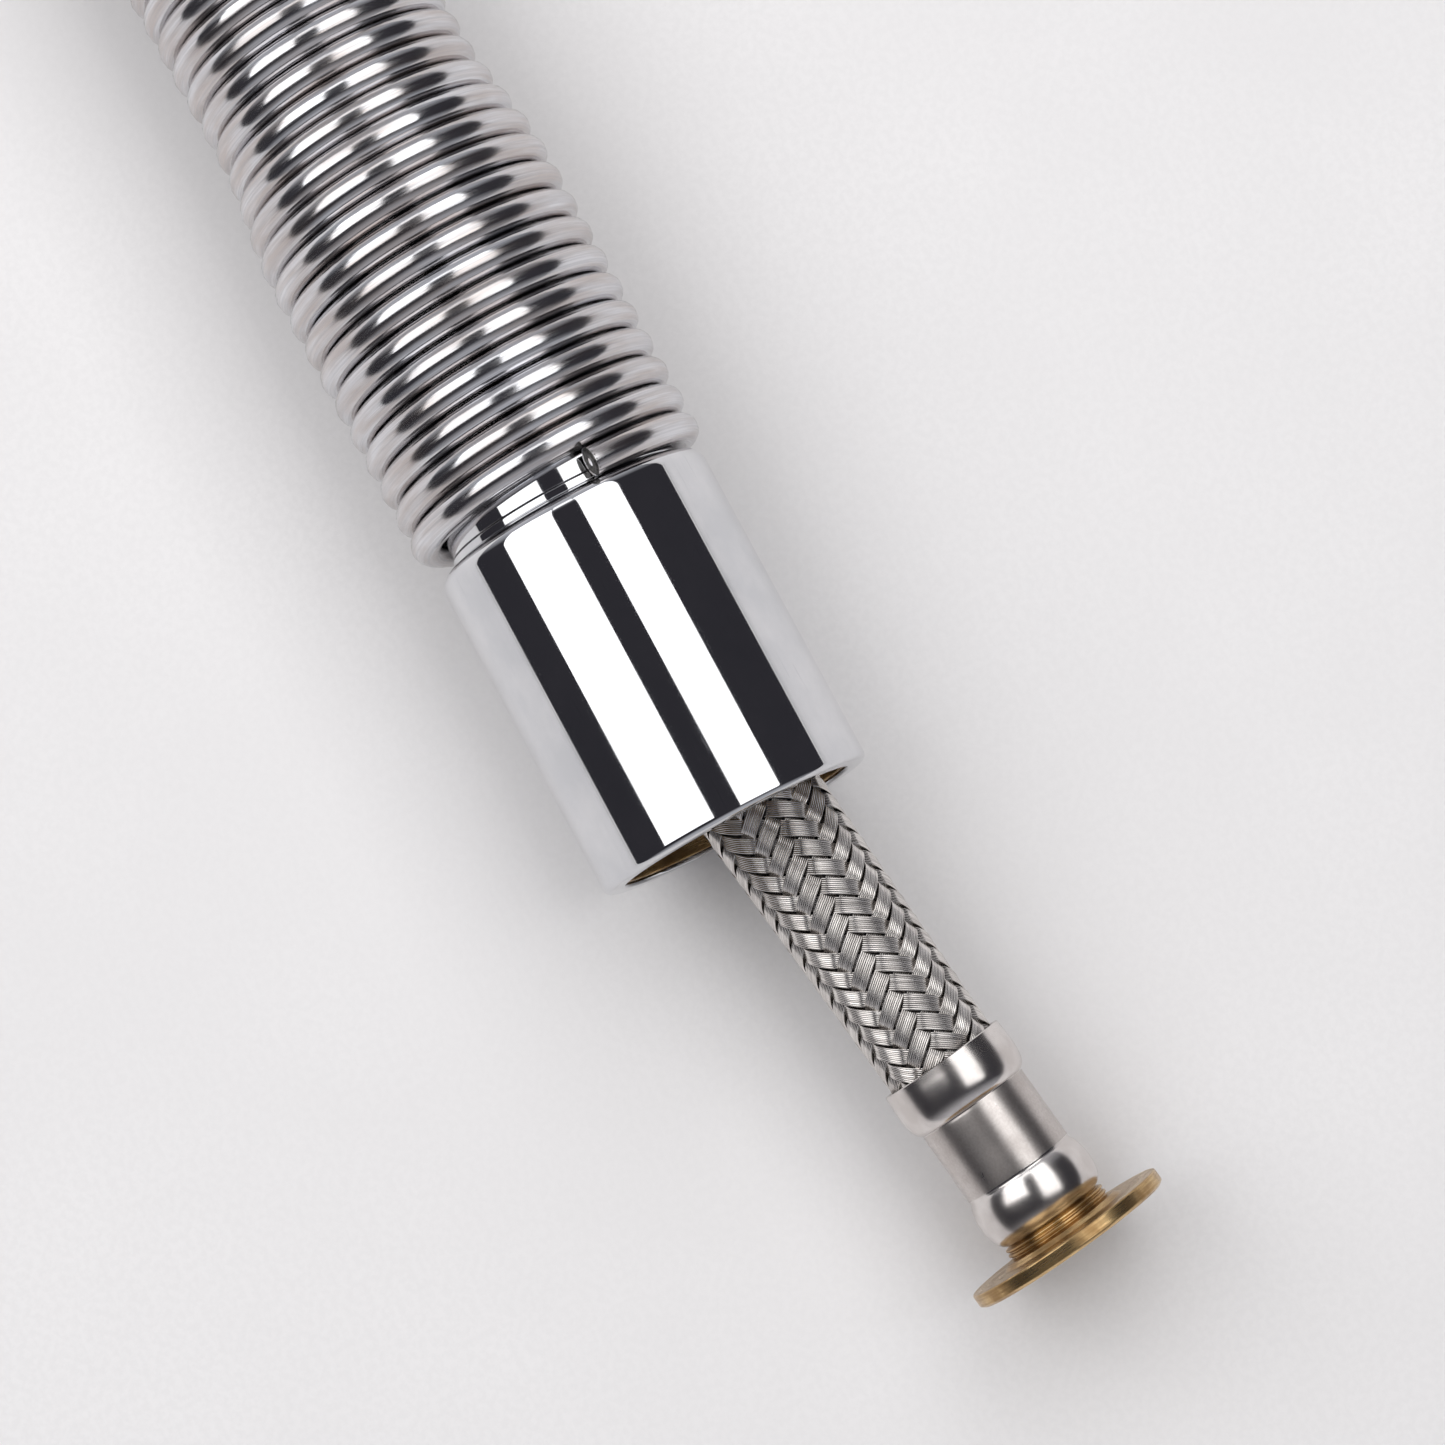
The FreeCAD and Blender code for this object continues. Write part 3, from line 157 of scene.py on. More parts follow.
def layeredFinish(name, values, attribute="turned", fixed=None):
    # a base colour and gloss, then layers that each tint it, roughen it and raise or sink it;
    # sizes are mm, across, across and along the piece, and a layer may lie on one stretch of it only
    material = bpy.data.materials.new(name)
    material.use_nodes = True
    tree = material.node_tree
    tree.nodes.clear()
    if attribute:
        spot, unit = addNode(tree, "ShaderNodeAttribute", attribute_name=attribute).outputs["Vector"], 1.0
    else:
        spot, unit = addNode(tree, "ShaderNodeTexCoord").outputs["Object"], mm
    colour, roughness, relief = linear(values["colour"]), values["roughness"], None
    for given in values["layers"]:
        layer = {**plainLayer, **given}
        scale = [1 / (size * unit) for size in layer["size"]]
        place = addNode(tree, "ShaderNodeMapping", {"Vector": spot, "Scale": scale})
        pattern = addNode(tree, "ShaderNodeTexNoise", {
            "Vector": place, "Scale": 1.0, "Detail": layer["detail"], "Roughness": 0.6,
        })
        low, high = layer["window"]
        share = addNode(tree, "ShaderNodeMapRange", {"Value": pattern, "From Min": low, "From Max": high})
        if "from" in layer:
            travelled = addNode(tree, "ShaderNodeSeparateXYZ", {0: spot}).outputs["Z"]
            middle, reach = (layer["from"] + layer["to"]) / 2, (layer["to"] - layer["from"]) / 2
            stretch = {0: travelled, 1: middle, 2: reach}
            inside = addNode(tree, "ShaderNodeMath", stretch, operation="COMPARE")
            share = addNode(tree, "ShaderNodeMath", {0: share, 1: inside}, operation="MULTIPLY")
        if "tint" in layer:
            amount = addNode(tree, "ShaderNodeMath", {0: share, 1: layer["amount"]}, operation="MULTIPLY")
            tones = {0: amount, 6: colour, 7: linear(layer["tint"])}
            colour = addNode(tree, "ShaderNodeMix", tones, data_type="RGBA").outputs[2]
        if "rougher" in layer:
            sums = {0: share, 1: layer["rougher"], 2: roughness}
            roughness = addNode(tree, "ShaderNodeMath", sums, operation="MULTIPLY_ADD")
        if "depth" in layer:
            heights = {"Height": pattern, "Distance": layer["depth"] * mm}
            if relief:
                heights["Normal"] = relief
            relief = addNode(tree, "ShaderNodeBump", heights)
    inputs = {**(fixed or {}), "Base Color": colour, "Roughness": roughness}
    if relief:
        inputs["Normal"] = relief
    shader = addNode(tree, "ShaderNodeBsdfPrincipled", inputs)
    addNode(tree, "ShaderNodeOutputMaterial", {"Surface": shader})
    return material


# Materials, each named for what it is and how it was made

metal = {"Metallic": 1.0}

# bright chrome over polished brass: a mirror with faint wiping marks and a few hair scratches
platedChromeSet = {
    "colour": "#dcdcde",
    "roughness": 0.03,
    "layers": [
        {"size": (9, 9, 9), "detail": 5.0, "tint": "#d0d1d4", "amount": 1.0, "rougher": 0.035},
        {"size": (0.3, 0.3, 7), "window": (0.68, 0.74), "tint": "#c2c3c7", "amount": 0.6, "rougher": 0.05},
        {"size": (2.5, 2.5, 2.5), "depth": 0.0004},
    ],
}
# chrome on drawn steel wire: a softer mirror, with drawing lines along the wire and winding marks
wireChromeSet = {
    "colour": "#dcdcdf",
    "roughness": 0.11,
    "layers": [
        {"size": (3.2, 3.2, 3.2), "depth": 0.014},
        {"size": (1.3, 1.3, 11), "detail": 3.0, "tint": "#b3a297", "amount": 0.6, "rougher": 0.05},
        {"size": (0.15, 0.15, 15), "tint": "#b4b4b8", "amount": 0.5, "rougher": 0.08, "depth": 0.003},
    ],
}
# stainless sheet, drawn and crimped: smooth and warm grey, with a dull grain where the jaws pressed
crimpedStainlessSet = {
    "colour": "#e0dbd8",
    "roughness": 0.19,
    "layers": [
        {"size": (3.5, 3.5, 3.5), "detail": 4.0, "tint": "#c8c1bd", "amount": 0.7, "rougher": 0.05},
        {"size": (0.25, 0.25, 0.25), "window": (0.35, 0.65), "tint": "#a59c96", "amount": 0.4,
         "from": 6.4, "to": 14.1},
        {"size": (1.2, 1.2, 5.0), "detail": 3.0, "window": (0.0, 0.4), "tint": "#b8b0ab", "amount": 0.4,
         "rougher": 0.11, "from": 6.4, "to": 14.1},
    ],
}
# free-cutting brass, turned on a lathe: pale gold with fine tool lines round it and brown stains
turnedBrassSet = {
    "colour": "#debf8c",
    "roughness": 0.22,
    "layers": [
        {"size": (3.5, 3.5, 3.5), "detail": 4.0, "tint": "#94724a", "amount": 0.8, "rougher": 0.08},
        {"size": (6, 6, 0.13), "detail": 3.0, "tint": "#8e6f48", "amount": 0.5, "rougher": 0.08,
         "depth": 0.006},
    ],
}
# soft-drawn stainless wire: warm grey, each wire a little lighter or darker than its neighbours
braidWireSet = {
    "colour": "#e9e5e1",
    "roughness": 0.13,
    "layers": [
        {"size": (0.24, 0.2, 7), "tint": "#96918d", "amount": 0.65, "rougher": 0.07},
        {"size": (2.5, 2.5, 2.5), "detail": 3.0, "tint": "#c0bab6", "amount": 0.4},
    ],
}
# thermoplastic rubber from a grained mould: dark and matt, a little paler where dust settles
gripRubberSet = {
    "colour": "#26272a",
    "roughness": 0.5,
    "layers": [
        {"size": (12, 12, 12), "detail": 5.0, "tint": "#38393c", "amount": 0.8, "rougher": 0.08},
        {"size": (0.3, 0.3, 0.3), "tint": "#2e2f32", "amount": 0.5, "rougher": 0.08, "depth": 0.02},
    ],
}
# nitrile rubber, pressed: near black with the dull bloom of a seal
sealRubberSet = {
    "colour": "#1b1c1e",
    "roughness": 0.46,
    "layers": [
        {"size": (1.2, 1.2, 1.2), "tint": "#2b2c2e", "amount": 0.9, "rougher": 0.14, "depth": 0.006},
    ],
}
# stainless sheet, brushed along its length: fine lines that stretch the highlights across them
brushedStainlessSet = {
    "colour": "#cdcecf",
    "roughness": 0.19,
    "layers": [
        {"size": (8, 8, 8), "detail": 4.0, "tint": "#bbbcbe", "amount": 0.7, "rougher": 0.05},
        {"size": (20, 0.09, 0.09), "detail": 3.0, "tint": "#a6a7a9", "amount": 0.6, "rougher": 0.1,
         "depth": 0.006},
    ],
}
# stainless bar, turned: the same steel with its fine lines running round
turnedStainlessSet = {
    "colour": "#cdcecf",
    "roughness": 0.15,
    "layers": [
        {"size": (9, 9, 0.1), "detail": 3.0, "tint": "#a6a7a9", "amount": 0.6, "rougher": 0.1,
         "depth": 0.005},
    ],
}
# oil-tempered spring steel: dark grey with a bluish cast and a thin oily gloss
springSteelSet = {
    "colour": "#6c7078",
    "roughness": 0.22,
    "layers": [{"size": (1.5, 1.5, 1.5), "detail": 3.0, "tint": "#8a8b8f", "amount": 0.9, "rougher": 0.14}],
}
# white acetal, machined: milky and slightly waxy
acetalSet = {
    "colour": "#e9e8e2",
    "roughness": 0.32,
    "layers": [
        {"size": (2, 2, 2), "detail": 3.0, "tint": "#dddbd2", "amount": 0.9, "rougher": 0.1,
         "depth": 0.004},
    ],
}
# sheared spring wire: grey bare steel, rough from the shears
cutSteelSet = {
    "colour": "#6f6c69",
    "roughness": 0.42,
    "layers": [
        {"size": (0.25, 0.25, 0.25), "tint": "#474543", "amount": 0.9, "rougher": 0.1, "depth": 0.03},
    ],
}

chrome = layeredFinish("platedChrome", platedChromeSet, fixed=metal)
castChrome = layeredFinish("platedChromeCast", platedChromeSet, None, metal)
wireChrome = layeredFinish("drawnWireChrome", wireChromeSet, fixed=metal)
ferruleSteel = layeredFinish("crimpedStainless", crimpedStainlessSet, fixed=metal)
brass = layeredFinish("turnedBrass", turnedBrassSet, fixed=metal)
rawBrass = layeredFinish("machinedBrass", turnedBrassSet, None, metal)
braidSteel = layeredFinish("braidWire", braidWireSet, fixed=metal)
gripRubber = layeredFinish("gripRubber", gripRubberSet, None)
sealRubber = layeredFinish("sealRubber", sealRubberSet, None)
sheetSteel = layeredFinish("brushedStainless", brushedStainlessSet, None, metal)
turnedSteel = layeredFinish("turnedStainless", turnedStainlessSet, fixed=metal)
darkSteel = layeredFinish("springSteel", springSteelSet, None, metal)
whiteAcetal = layeredFinish("machinedAcetal", acetalSet, None, {"IOR": 1.48})
cutSteel = layeredFinish("shearedWire", cutSteelSet, None, metal)
print("materials made")


# Helpers for turned pieces, plates and tubes

arcStep = 11.0  # degrees at most between two points of a rounding
nearlyHalf = 0.48  # a rounding takes up no more than this share of the runs beside it


def cornerArc(before, corner, after, radius):
    # points of the rounding at one corner of an outline
    toBefore = Vector(before) - Vector(corner)
    toAfter = Vector(after) - Vector(corner)
    bend = toBefore.angle(toAfter, math.pi)
    if radius <= 0 or bend > math.radians(178):
        return [tuple(corner)]
    reach = radius / math.tan(bend / 2)
    reach = min(reach, toBefore.length * nearlyHalf, toAfter.length * nearlyHalf)
    radius = reach * math.tan(bend / 2)
    first = Vector(corner) + toBefore.normalized() * reach
    last = Vector(corner) + toAfter.normalized() * reach
    middle = (toBefore.normalized() + toAfter.normalized()).normalized()
    centre = Vector(corner) + middle * (radius / math.sin(bend / 2))
    steps = max(3, int(math.degrees(math.pi - bend) / arcStep))
    start = first - centre
    sweep = start.angle_signed(last - centre)
    points = []
    for step in range(steps + 1):
        turn = -sweep * step / steps
        points.append(tuple(centre + Matrix.Rotation(turn, 2) @ start))
    return points


def outlineOf(corners, support=0.12):
    # corners are (radius, height, rounding); long straight runs get a point close to each end
    points = []
    count = len(corners)
    for index, corner in enumerate(corners):
        rounding = corner[2] if len(corner) > 2 else 0.0
        before, after = corners[index - 1][:2], corners[(index + 1) % count][:2]
        points += cornerArc(before, corner[:2], after, rounding)
    full = []
    for index, point in enumerate(points):
        full.append(point)
        following = points[(index + 1) % len(points)]
        run = Vector(following) - Vector(point)
        if support and run.length > support * 6:
            step = run.normalized() * support
            full.append(tuple(Vector(point) + step))
            full.append(tuple(Vector(following) - step))
    return full


def smoothOutline(points, steps=4):
    # a soft curve through (radius, height) points
    made = []
    for index in range(len(points) - 1):
        p0 = Vector(points[max(index - 1, 0)])
        p1, p2 = Vector(points[index]), Vector(points[index + 1])
        p3 = Vector(points[min(index + 2, len(points) - 1)])
        for step in range(steps):
            t = step / steps
            made.append(tuple(0.5 * ((2 * p1) + (p2 - p0) * t + (2 * p0 - 5 * p1 + 4 * p2 - p3) * t * t
                                     + (3 * p1 - p0 - 3 * p2 + p3) * t ** 3)))
    made.append(tuple(points[-1]))
    return made


def pieceFrom(name, shape, sharpAngle=38):
    # a smooth-shaded piece, its faces outwards whichever way the shape was drawn
    bmesh.ops.recalc_face_normals(shape, faces=shape.faces)
    if shape.calc_volume(signed=True) < 0:
        bmesh.ops.reverse_faces(shape, faces=shape.faces)
    mesh = bpy.data.meshes.new(name)
    shape.to_mesh(mesh)
    shape.free()
    for polygon in mesh.polygons:
        polygon.use_smooth = True
    mesh.set_sharp_from_angle(angle=math.radians(sharpAngle))
    piece = bpy.data.objects.new(name, mesh)
    collection.objects.link(piece)
    return piece


def skin(shape, rings):
    # quads between rings of corners that follow each other, and a cap at each end
    count = len(rings[0])
    for low, high in zip(rings, rings[1:]):
        for step in range(count):
            following = (step + 1) % count
            shape.faces.new((low[step], low[following], high[following], high[step]))
    shape.faces.new(rings[0])
    shape.faces.new(rings[-1])
    return shape


def turned(name, outline, place, around=128, sharpAngle=38):
    # a closed outline of (radius, height) points spun round Z; a third number squares it to a hexagon
    shape = bmesh.new()
    mark = shape.verts.layers.float_vector.new("turned")
    rings = []
    travelled = 0.0
    for index, point in enumerate(outline):
        if index:
            travelled += (Vector(point[:2]) - Vector(outline[index - 1][:2])).length
        ring = []
        for step in range(around if point[0] > 1e-6 else 1):
            angle = 2 * math.pi * step / around
            radius = point[0]
            if len(point) > 2:
                fromFlat = (angle + math.pi / 6) % (math.pi / 3) - math.pi / 6
                radius = min(radius, point[2] / math.cos(fromFlat))
            x, y = radius * math.cos(angle), radius * math.sin(angle)
            vertex = shape.verts.new(pointOn(place, x, y, point[1]))
            vertex[mark] = (x, y, travelled)
            ring.append(vertex)
        rings.append(ring)
    for low, high in zip(rings, rings[1:] + rings[:1]):
        for step in range(around):
            corners = [
                low[step % len(low)],
                low[(step + 1) % len(low)],
                high[(step + 1) % len(high)],
                high[step % len(high)],
            ]
            unique = [corner for number, corner in enumerate(corners) if corner not in corners[:number]]
            if len(unique) > 2:
                shape.faces.new(unique)
    return pieceFrom(name, shape, sharpAngle)


def extrudedShape(outline, place, low, high, edge=0.3, steps=3):
    # a plate of any outline between two heights, with its edges rounded
    count = len(outline)
    area = sum(outline[index - 1][0] * outline[index][1] - outline[index][0] * outline[index - 1][1]
               for index in range(count))
    if area < 0:
        outline = outline[::-1]
    inward = []
    for index, point in enumerate(outline):
        arrive = (Vector(point) - Vector(outline[index - 1])).normalized()
        leave = (Vector(outline[(index + 1) % count]) - Vector(point)).normalized()
        middle = (arrive + leave).normalized()
        inward.append(Vector((-middle.y, middle.x)) / max(middle.dot(leave), 0.5))
    levels = []
    for step in range(steps + 1):
        turn = math.pi / 2 * step / steps
        levels.append((edge * (1 - math.sin(turn)), low + edge * (1 - math.cos(turn))))
    levels += [(inset, low + high - height) for inset, height in reversed(levels)]
    shape = bmesh.new()
    rings = []
    for inset, height in levels:
        spots = [Vector(point) + way * inset for point, way in zip(outline, inward)]
        rings.append([shape.verts.new(pointOn(place, spot.x, spot.y, height)) for spot in spots])
    return skin(shape, rings)


def tubeShape(points, radius, around=24, firstAcross=None):
    # a round bar along points given in metres
    shape = bmesh.new()
    mark = shape.verts.layers.float_vector.new("turned")
    across = firstAcross or Vector((0, 0, 1))
    travelled = 0.0
    rings = []
    for index, point in enumerate(points):
        before, after = points[max(index - 1, 0)], points[min(index + 1, len(points) - 1)]
        direction = (after - before).normalized()
        across = (across - direction * across.dot(direction)).normalized()
        beside = direction.cross(across)
        if index:
            travelled += (point - points[index - 1]).length
        ring = []
        for step in range(around):
            angle = 2 * math.pi * step / around
            offset = (across * math.cos(angle) + beside * math.sin(angle)) * radius
            vertex = shape.verts.new(point + offset)
            vertex[mark] = (radius / mm * math.cos(angle), radius / mm * math.sin(angle), travelled / mm)
            ring.append(vertex)
        rings.append(ring)
    return skin(shape, rings)


def settle(piece, material, body, slot, *nodes):
    # gives a finished piece its material and its body, and hides the CAD nodes that it stands for
    piece.data.materials.clear()
    piece.data.materials.append(material)
    if body:
        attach(piece, body)
    if nodes:
        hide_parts(*nodes)


# Helpers for Geometry Nodes

def newTree(name, values, wholeNumbers=()):
    # a tree with one input for each size, and its input sockets by name
    tree = bpy.data.node_groups.new(name, "GeometryNodeTree")
    tree.interface.new_socket("Geometry", in_out="OUTPUT", socket_type="NodeSocketGeometry")
    identifiers = {}
    for label in values:
        kind = "NodeSocketInt" if label in wholeNumbers else "NodeSocketFloat"
        identifiers[label] = tree.interface.new_socket(label, in_out="INPUT", socket_type=kind).identifier
    entry = addNode(tree, "NodeGroupInput")
    return tree, {socket.name: socket for socket in entry.outputs if socket.name}, identifiers


def sweptStrand(tree, curve, profile, offset=0.0):
    # sweeps the profile and keeps where each point is on it and how far along the strand, in mm
    length = addNode(tree, "GeometryNodeSplineParameter").outputs["Length"]
    travelled = addNode(tree, "ShaderNodeMath", {0: length, 1: 1 / mm, 2: offset}, operation="MULTIPLY_ADD")
    longWay = addNode(tree, "GeometryNodeCaptureAttribute", {"Geometry": curve})
    longWay.capture_items.new("FLOAT", "Travelled")
    tree.links.new(travelled.outputs[0], longWay.inputs["Travelled"])
    roundWay = addNode(tree, "GeometryNodeCaptureAttribute", {"Geometry": profile})
    roundWay.capture_items.new("VECTOR", "Round")
    tree.links.new(addNode(tree, "GeometryNodeInputPosition").outputs[0], roundWay.inputs["Round"])
    solid = addNode(tree, "GeometryNodeCurveToMesh", {
        "Curve": longWay.outputs["Geometry"],
        "Profile Curve": roundWay.outputs["Geometry"],
        "Fill Caps": True,
    })
    around = {0: roundWay.outputs["Round"], "Scale": 1 / mm}
    across = addNode(tree, "ShaderNodeVectorMath", around, operation="SCALE")
    along = addNode(tree, "ShaderNodeCombineXYZ", {"Z": longWay.outputs["Travelled"]})
    mark = addNode(tree, "ShaderNodeVectorMath", {0: across, 1: along}, operation="ADD")
    return addNode(tree, "GeometryNodeStoreNamedAttribute", {
        "Geometry": solid, "Name": "turned", "Value": mark,
    }, data_type="FLOAT_VECTOR", domain="POINT")


def curveThrough(tree, count, place):
    # a curve of so many points, each of them where the place says
    line = addNode(tree, "GeometryNodeMeshLine", {"Count": count})
    placed = addNode(tree, "GeometryNodeSetPosition", {"Geometry": line, "Position": place})
    return addNode(tree, "GeometryNodeMeshToCurve", {"Mesh": placed})


def endTree(tree, geometry, material):
    plain = addNode(tree, "GeometryNodeRealizeInstances", {"Geometry": geometry})
    painted = addNode(tree, "GeometryNodeSetMaterial", {"Geometry": plain, "Material": material})
    addNode(tree, "NodeGroupOutput", {"Geometry": painted})


def grow(name, made, values, place, sharpAngle=38):
    # runs a tree with its sizes and keeps the result as a plain mesh in its place
    tree, identifiers = made
    holder = bpy.data.objects.new(name + "Holder", bpy.data.meshes.new(name + "Holder"))
    collection.objects.link(holder)
    maker = holder.modifiers.new("maker", "NODES")
    maker.node_group = tree
    for label, value in values.items():
        maker[identifiers[label]] = value
    graph = bpy.context.evaluated_depsgraph_get()
    mesh = bpy.data.meshes.new_from_object(holder.evaluated_get(graph))
    bpy.data.objects.remove(holder)
    shape = bmesh.new()
    shape.from_mesh(mesh)
    shape.transform(place)
    return pieceFrom(name, shape, sharpAngle)


# Guard spring: one chrome wire, close wound, wide over the bushes at both ends, lying in a slight bow

springSet = {
    "Turns": 85.3,
    "End Turns": 10.0,
    "Taper Turns": 4.75,
    "End Radius": 13.95 * mm,
    "Middle Radius": 12.35 * mm,
    "End Pitch": 3.17 * mm,
    "Middle Pitch": 3.0597 * mm,
    "Start Angle": math.radians(17),
    "Bow": -1.25 * mm,
    "Wire Radius": 1.525 * mm,
    "Steps Per Turn": 48,
    "Sides": 20,
}
springDrop = 1.2  # the first turn lies this much lower than the CAD wire, against the nut's round edge


def woundWireTree(name, material):
    tree, known, identifiers = newTree(name, springSet, ("Steps Per Turn", "Sides"))
    known["index"] = addNode(tree, "GeometryNodeInputIndex").outputs[0]
    for result, operation, *terms in (
        ("steps", "MULTIPLY", "Turns", "Steps Per Turn"),
        ("count", "ADD", "steps", 1.0),
        ("turn", "DIVIDE", "index", "Steps Per Turn"),
        ("left", "SUBTRACT", "Turns", "turn"),
        ("inward", "MINIMUM", "turn", "left"),
        ("taperEnd", "ADD", "End Turns", "Taper Turns"),
        ("firstEnd", "MINIMUM", "turn", "End Turns"),
        ("reached", "SUBTRACT", "End Turns", "left"),
        ("lastEnd", "MAXIMUM", "reached", 0.0),
        ("endTurns", "ADD", "firstEnd", "lastEnd"),
        ("extraPitch", "SUBTRACT", "End Pitch", "Middle Pitch"),
        ("endRise", "MULTIPLY", "extraPitch", "endTurns"),
        ("height", "MULTIPLY_ADD", "Middle Pitch", "turn", "endRise"),
        ("angle", "MULTIPLY_ADD", "turn", 2 * math.pi, "Start Angle"),
        ("cosine", "COSINE", "angle"),
        ("sine", "SINE", "angle"),
        ("share", "DIVIDE", "turn", "Turns"),
        ("halfCircle", "MULTIPLY", "share", math.pi),
        ("swell", "SINE", "halfCircle"),
        ("squared", "MULTIPLY", "swell", "swell"),
        ("lean", "MULTIPLY", "squared", "Bow"),
    ):
        inputs = {place: known.get(term, term) for place, term in enumerate(terms)}
        known[result] = addNode(tree, "ShaderNodeMath", inputs, operation=operation).outputs[0]
    radius = addNode(tree, "ShaderNodeMapRange", {
        "Value": known["inward"], "From Min": known["End Turns"], "From Max": known["taperEnd"],
        "To Min": known["End Radius"], "To Max": known["Middle Radius"],
    }, interpolation_type="SMOOTHSTEP")
    circle = addNode(tree, "ShaderNodeCombineXYZ", {"X": known["cosine"], "Y": known["sine"]})
    ringed = addNode(tree, "ShaderNodeVectorMath", {0: circle, "Scale": radius}, operation="SCALE")
    centre = addNode(tree, "ShaderNodeCombineXYZ", {"Y": known["lean"], "Z": known["height"]})
    place = addNode(tree, "ShaderNodeVectorMath", {0: ringed, 1: centre}, operation="ADD")
    curve = curveThrough(tree, known["count"], place)
    upright = addNode(tree, "GeometryNodeSetCurveNormal", {"Curve": curve}, mode="Z_UP")
    wire = addNode(tree, "GeometryNodeCurvePrimitiveCircle", {
        "Resolution": known["Sides"], "Radius": known["Wire Radius"],
    })
    endTree(tree, sweptStrand(tree, upright, wire), material)
    return tree, identifiers


springFoot = shifted(hoseLine, z=stations["springStart"] - springDrop)
guardSpring = grow("guardSpring", woundWireTree("guardSpringWire", wireChrome), springSet, springFoot, 50)
settle(guardSpring, wireChrome, None, "spring_chrome", "guard_spring")
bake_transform(guardSpring)
print("guard spring wound:", len(guardSpring.data.polygons), "faces")


def wireEnd():
    # the sheared end of the wire: dull bare steel with a burr ring and a small pit
    angle = springSet["Start Angle"]
    slope = 0.036
    out = springFoot.to_3x3() @ Vector((math.cos(angle), math.sin(angle), 0))
    backwards = springFoot.to_3x3() @ Vector((math.sin(angle), -math.cos(angle), -slope))
    centre = springFoot.translation + out * springSet["End Radius"]
    place = placeOf(centre, out, backwards.cross(out), backwards.normalized())
    corners = [
        (0, -0.3), (1.5, -0.3), (1.5, 0.04, 0.15), (1.32, 0.02, 0.1), (1.25, 0.09, 0.08),
        (0.45, 0.07, 0.1), (0.36, -0.12, 0.1), (0, -0.16),
    ]
    cut = turned("wireEnd", outlineOf(corners, None), place, 40, 25)
    settle(cut, cutSteel, "coupling", "spring_chrome")


wireEnd()


# Coupling nut: a plain round union nut, polished and plated, raw brass inside with its thread

nutSet = {
    "outer": 14.5,
    "length": 35.2,
    "topRounding": 1.6,
    "mouthRounding": 0.7,
    "undercut": 12.4,
    "threadBore": 12.06,
    "threadLength": 14.0,
    "topWall": 3.5,
    "shankHole": 10.7,
}
nutThreadSet = {
    **springSet,
    "Turns": 5.0,
    "End Turns": 0.5,
    "Taper Turns": 0.5,
    "End Radius": 12.5 * mm,
    "Middle Radius": 12.1 * mm,
    "End Pitch": 1.81 * mm,
    "Middle Pitch": 1.81 * mm,
    "Bow": 0.0,
    "Wire Radius": 0.55 * mm,
    "Steps Per Turn": 64,
    "Sides": 6,
}


def couplingNut():
    v = nutSet
    corners = [
        (v["undercut"], v["threadLength"]),
        (v["undercut"], v["length"] - v["topWall"]),
        (v["shankHole"], v["length"] - v["topWall"]),
        (v["shankHole"], v["length"], 0.3),
        (v["outer"], v["length"], v["topRounding"]),
        (v["outer"], 0, v["mouthRounding"]),
        (v["threadBore"] + 0.35, 0, 0.15),
        (v["threadBore"] + 0.2, 0.2),
        (v["threadBore"] + 0.2, v["threadLength"]),
    ]
    place = shifted(hoseLine, z=stations["mouth"])
    settle(turned("couplingNut", outlineOf(corners), place, 160), chrome, "nut", "chrome", "coupling_nut")
    inner = [
        (v["threadBore"], 0.5, 0.15),
        (v["threadBore"] + 0.25, 0.5),
        (v["threadBore"] + 0.25, v["threadLength"]),
        (v["threadBore"], v["threadLength"]),
    ]
    settle(turned("nutBore", outlineOf(inner), place, 160), brass, "nut", "brass")
    thread = grow("nutThread", woundWireTree("nutThreadRidge", brass), nutThreadSet, shifted(place, z=4.0))
    settle(thread, brass, "nut", "brass")


couplingNut()


# Lower bush: its neck and thin lip show between the nut and the first turn of the spring

bushSet = {
    "bore": 9.2,
    "shank": 10.55,
    "shankLength": 17.3,
    "lip": 12.35,
    "lipThick": 0.9,
    "spigot": 12.1,
    "spigotLength": 31.0,
    "shankEnd": 70.1,
}


def lowerBush():
    v = bushSet
    lipLow = v["shankLength"]
    lipHigh = lipLow + v["lipThick"]
    top = lipHigh + v["spigotLength"]
    corners = [
        (v["bore"], 0),
        (v["shank"], 0, 0.3),
        (v["shank"], lipLow),
        (v["lip"], lipLow, 0.25),
        (v["lip"], lipHigh, 0.35),
        (v["spigot"], lipHigh + 0.1, 0.2),
        (v["spigot"], top, 0.4),
        (v["bore"], top, 0.3),
    ]
    bush = turned("lowerBush", outlineOf(corners, 0.08), shifted(hoseLine, z=v["shankEnd"]), 128)
    settle(bush, chrome, "coupling", "chrome", "lower_bush")


lowerBush()
print("nut and bush turned")


# Braided hose end: twelve flat strands each way, two over and two under

weaveSet = {
    "Strands": 12,
    "Lead": 27.4 * mm,
    "Low Height": 21.2 * mm,
    "High Height": 55.6 * mm,
    "Low Radius": 5.55 * mm,
    "High Radius": 6.08 * mm,
    "Weave Height": 0.16 * mm,
    "Strand Width": 1.6 * mm,
    "Wires": 8,
    "Wire Height": 0.065 * mm,
    "Strand Thickness": 0.08 * mm,
    "Crown": 1.0,
    "Steepness": 2.6,
    "Turn": math.radians(-22),
    "Slide": 1.14 * mm,
    "Steps": 152,
}


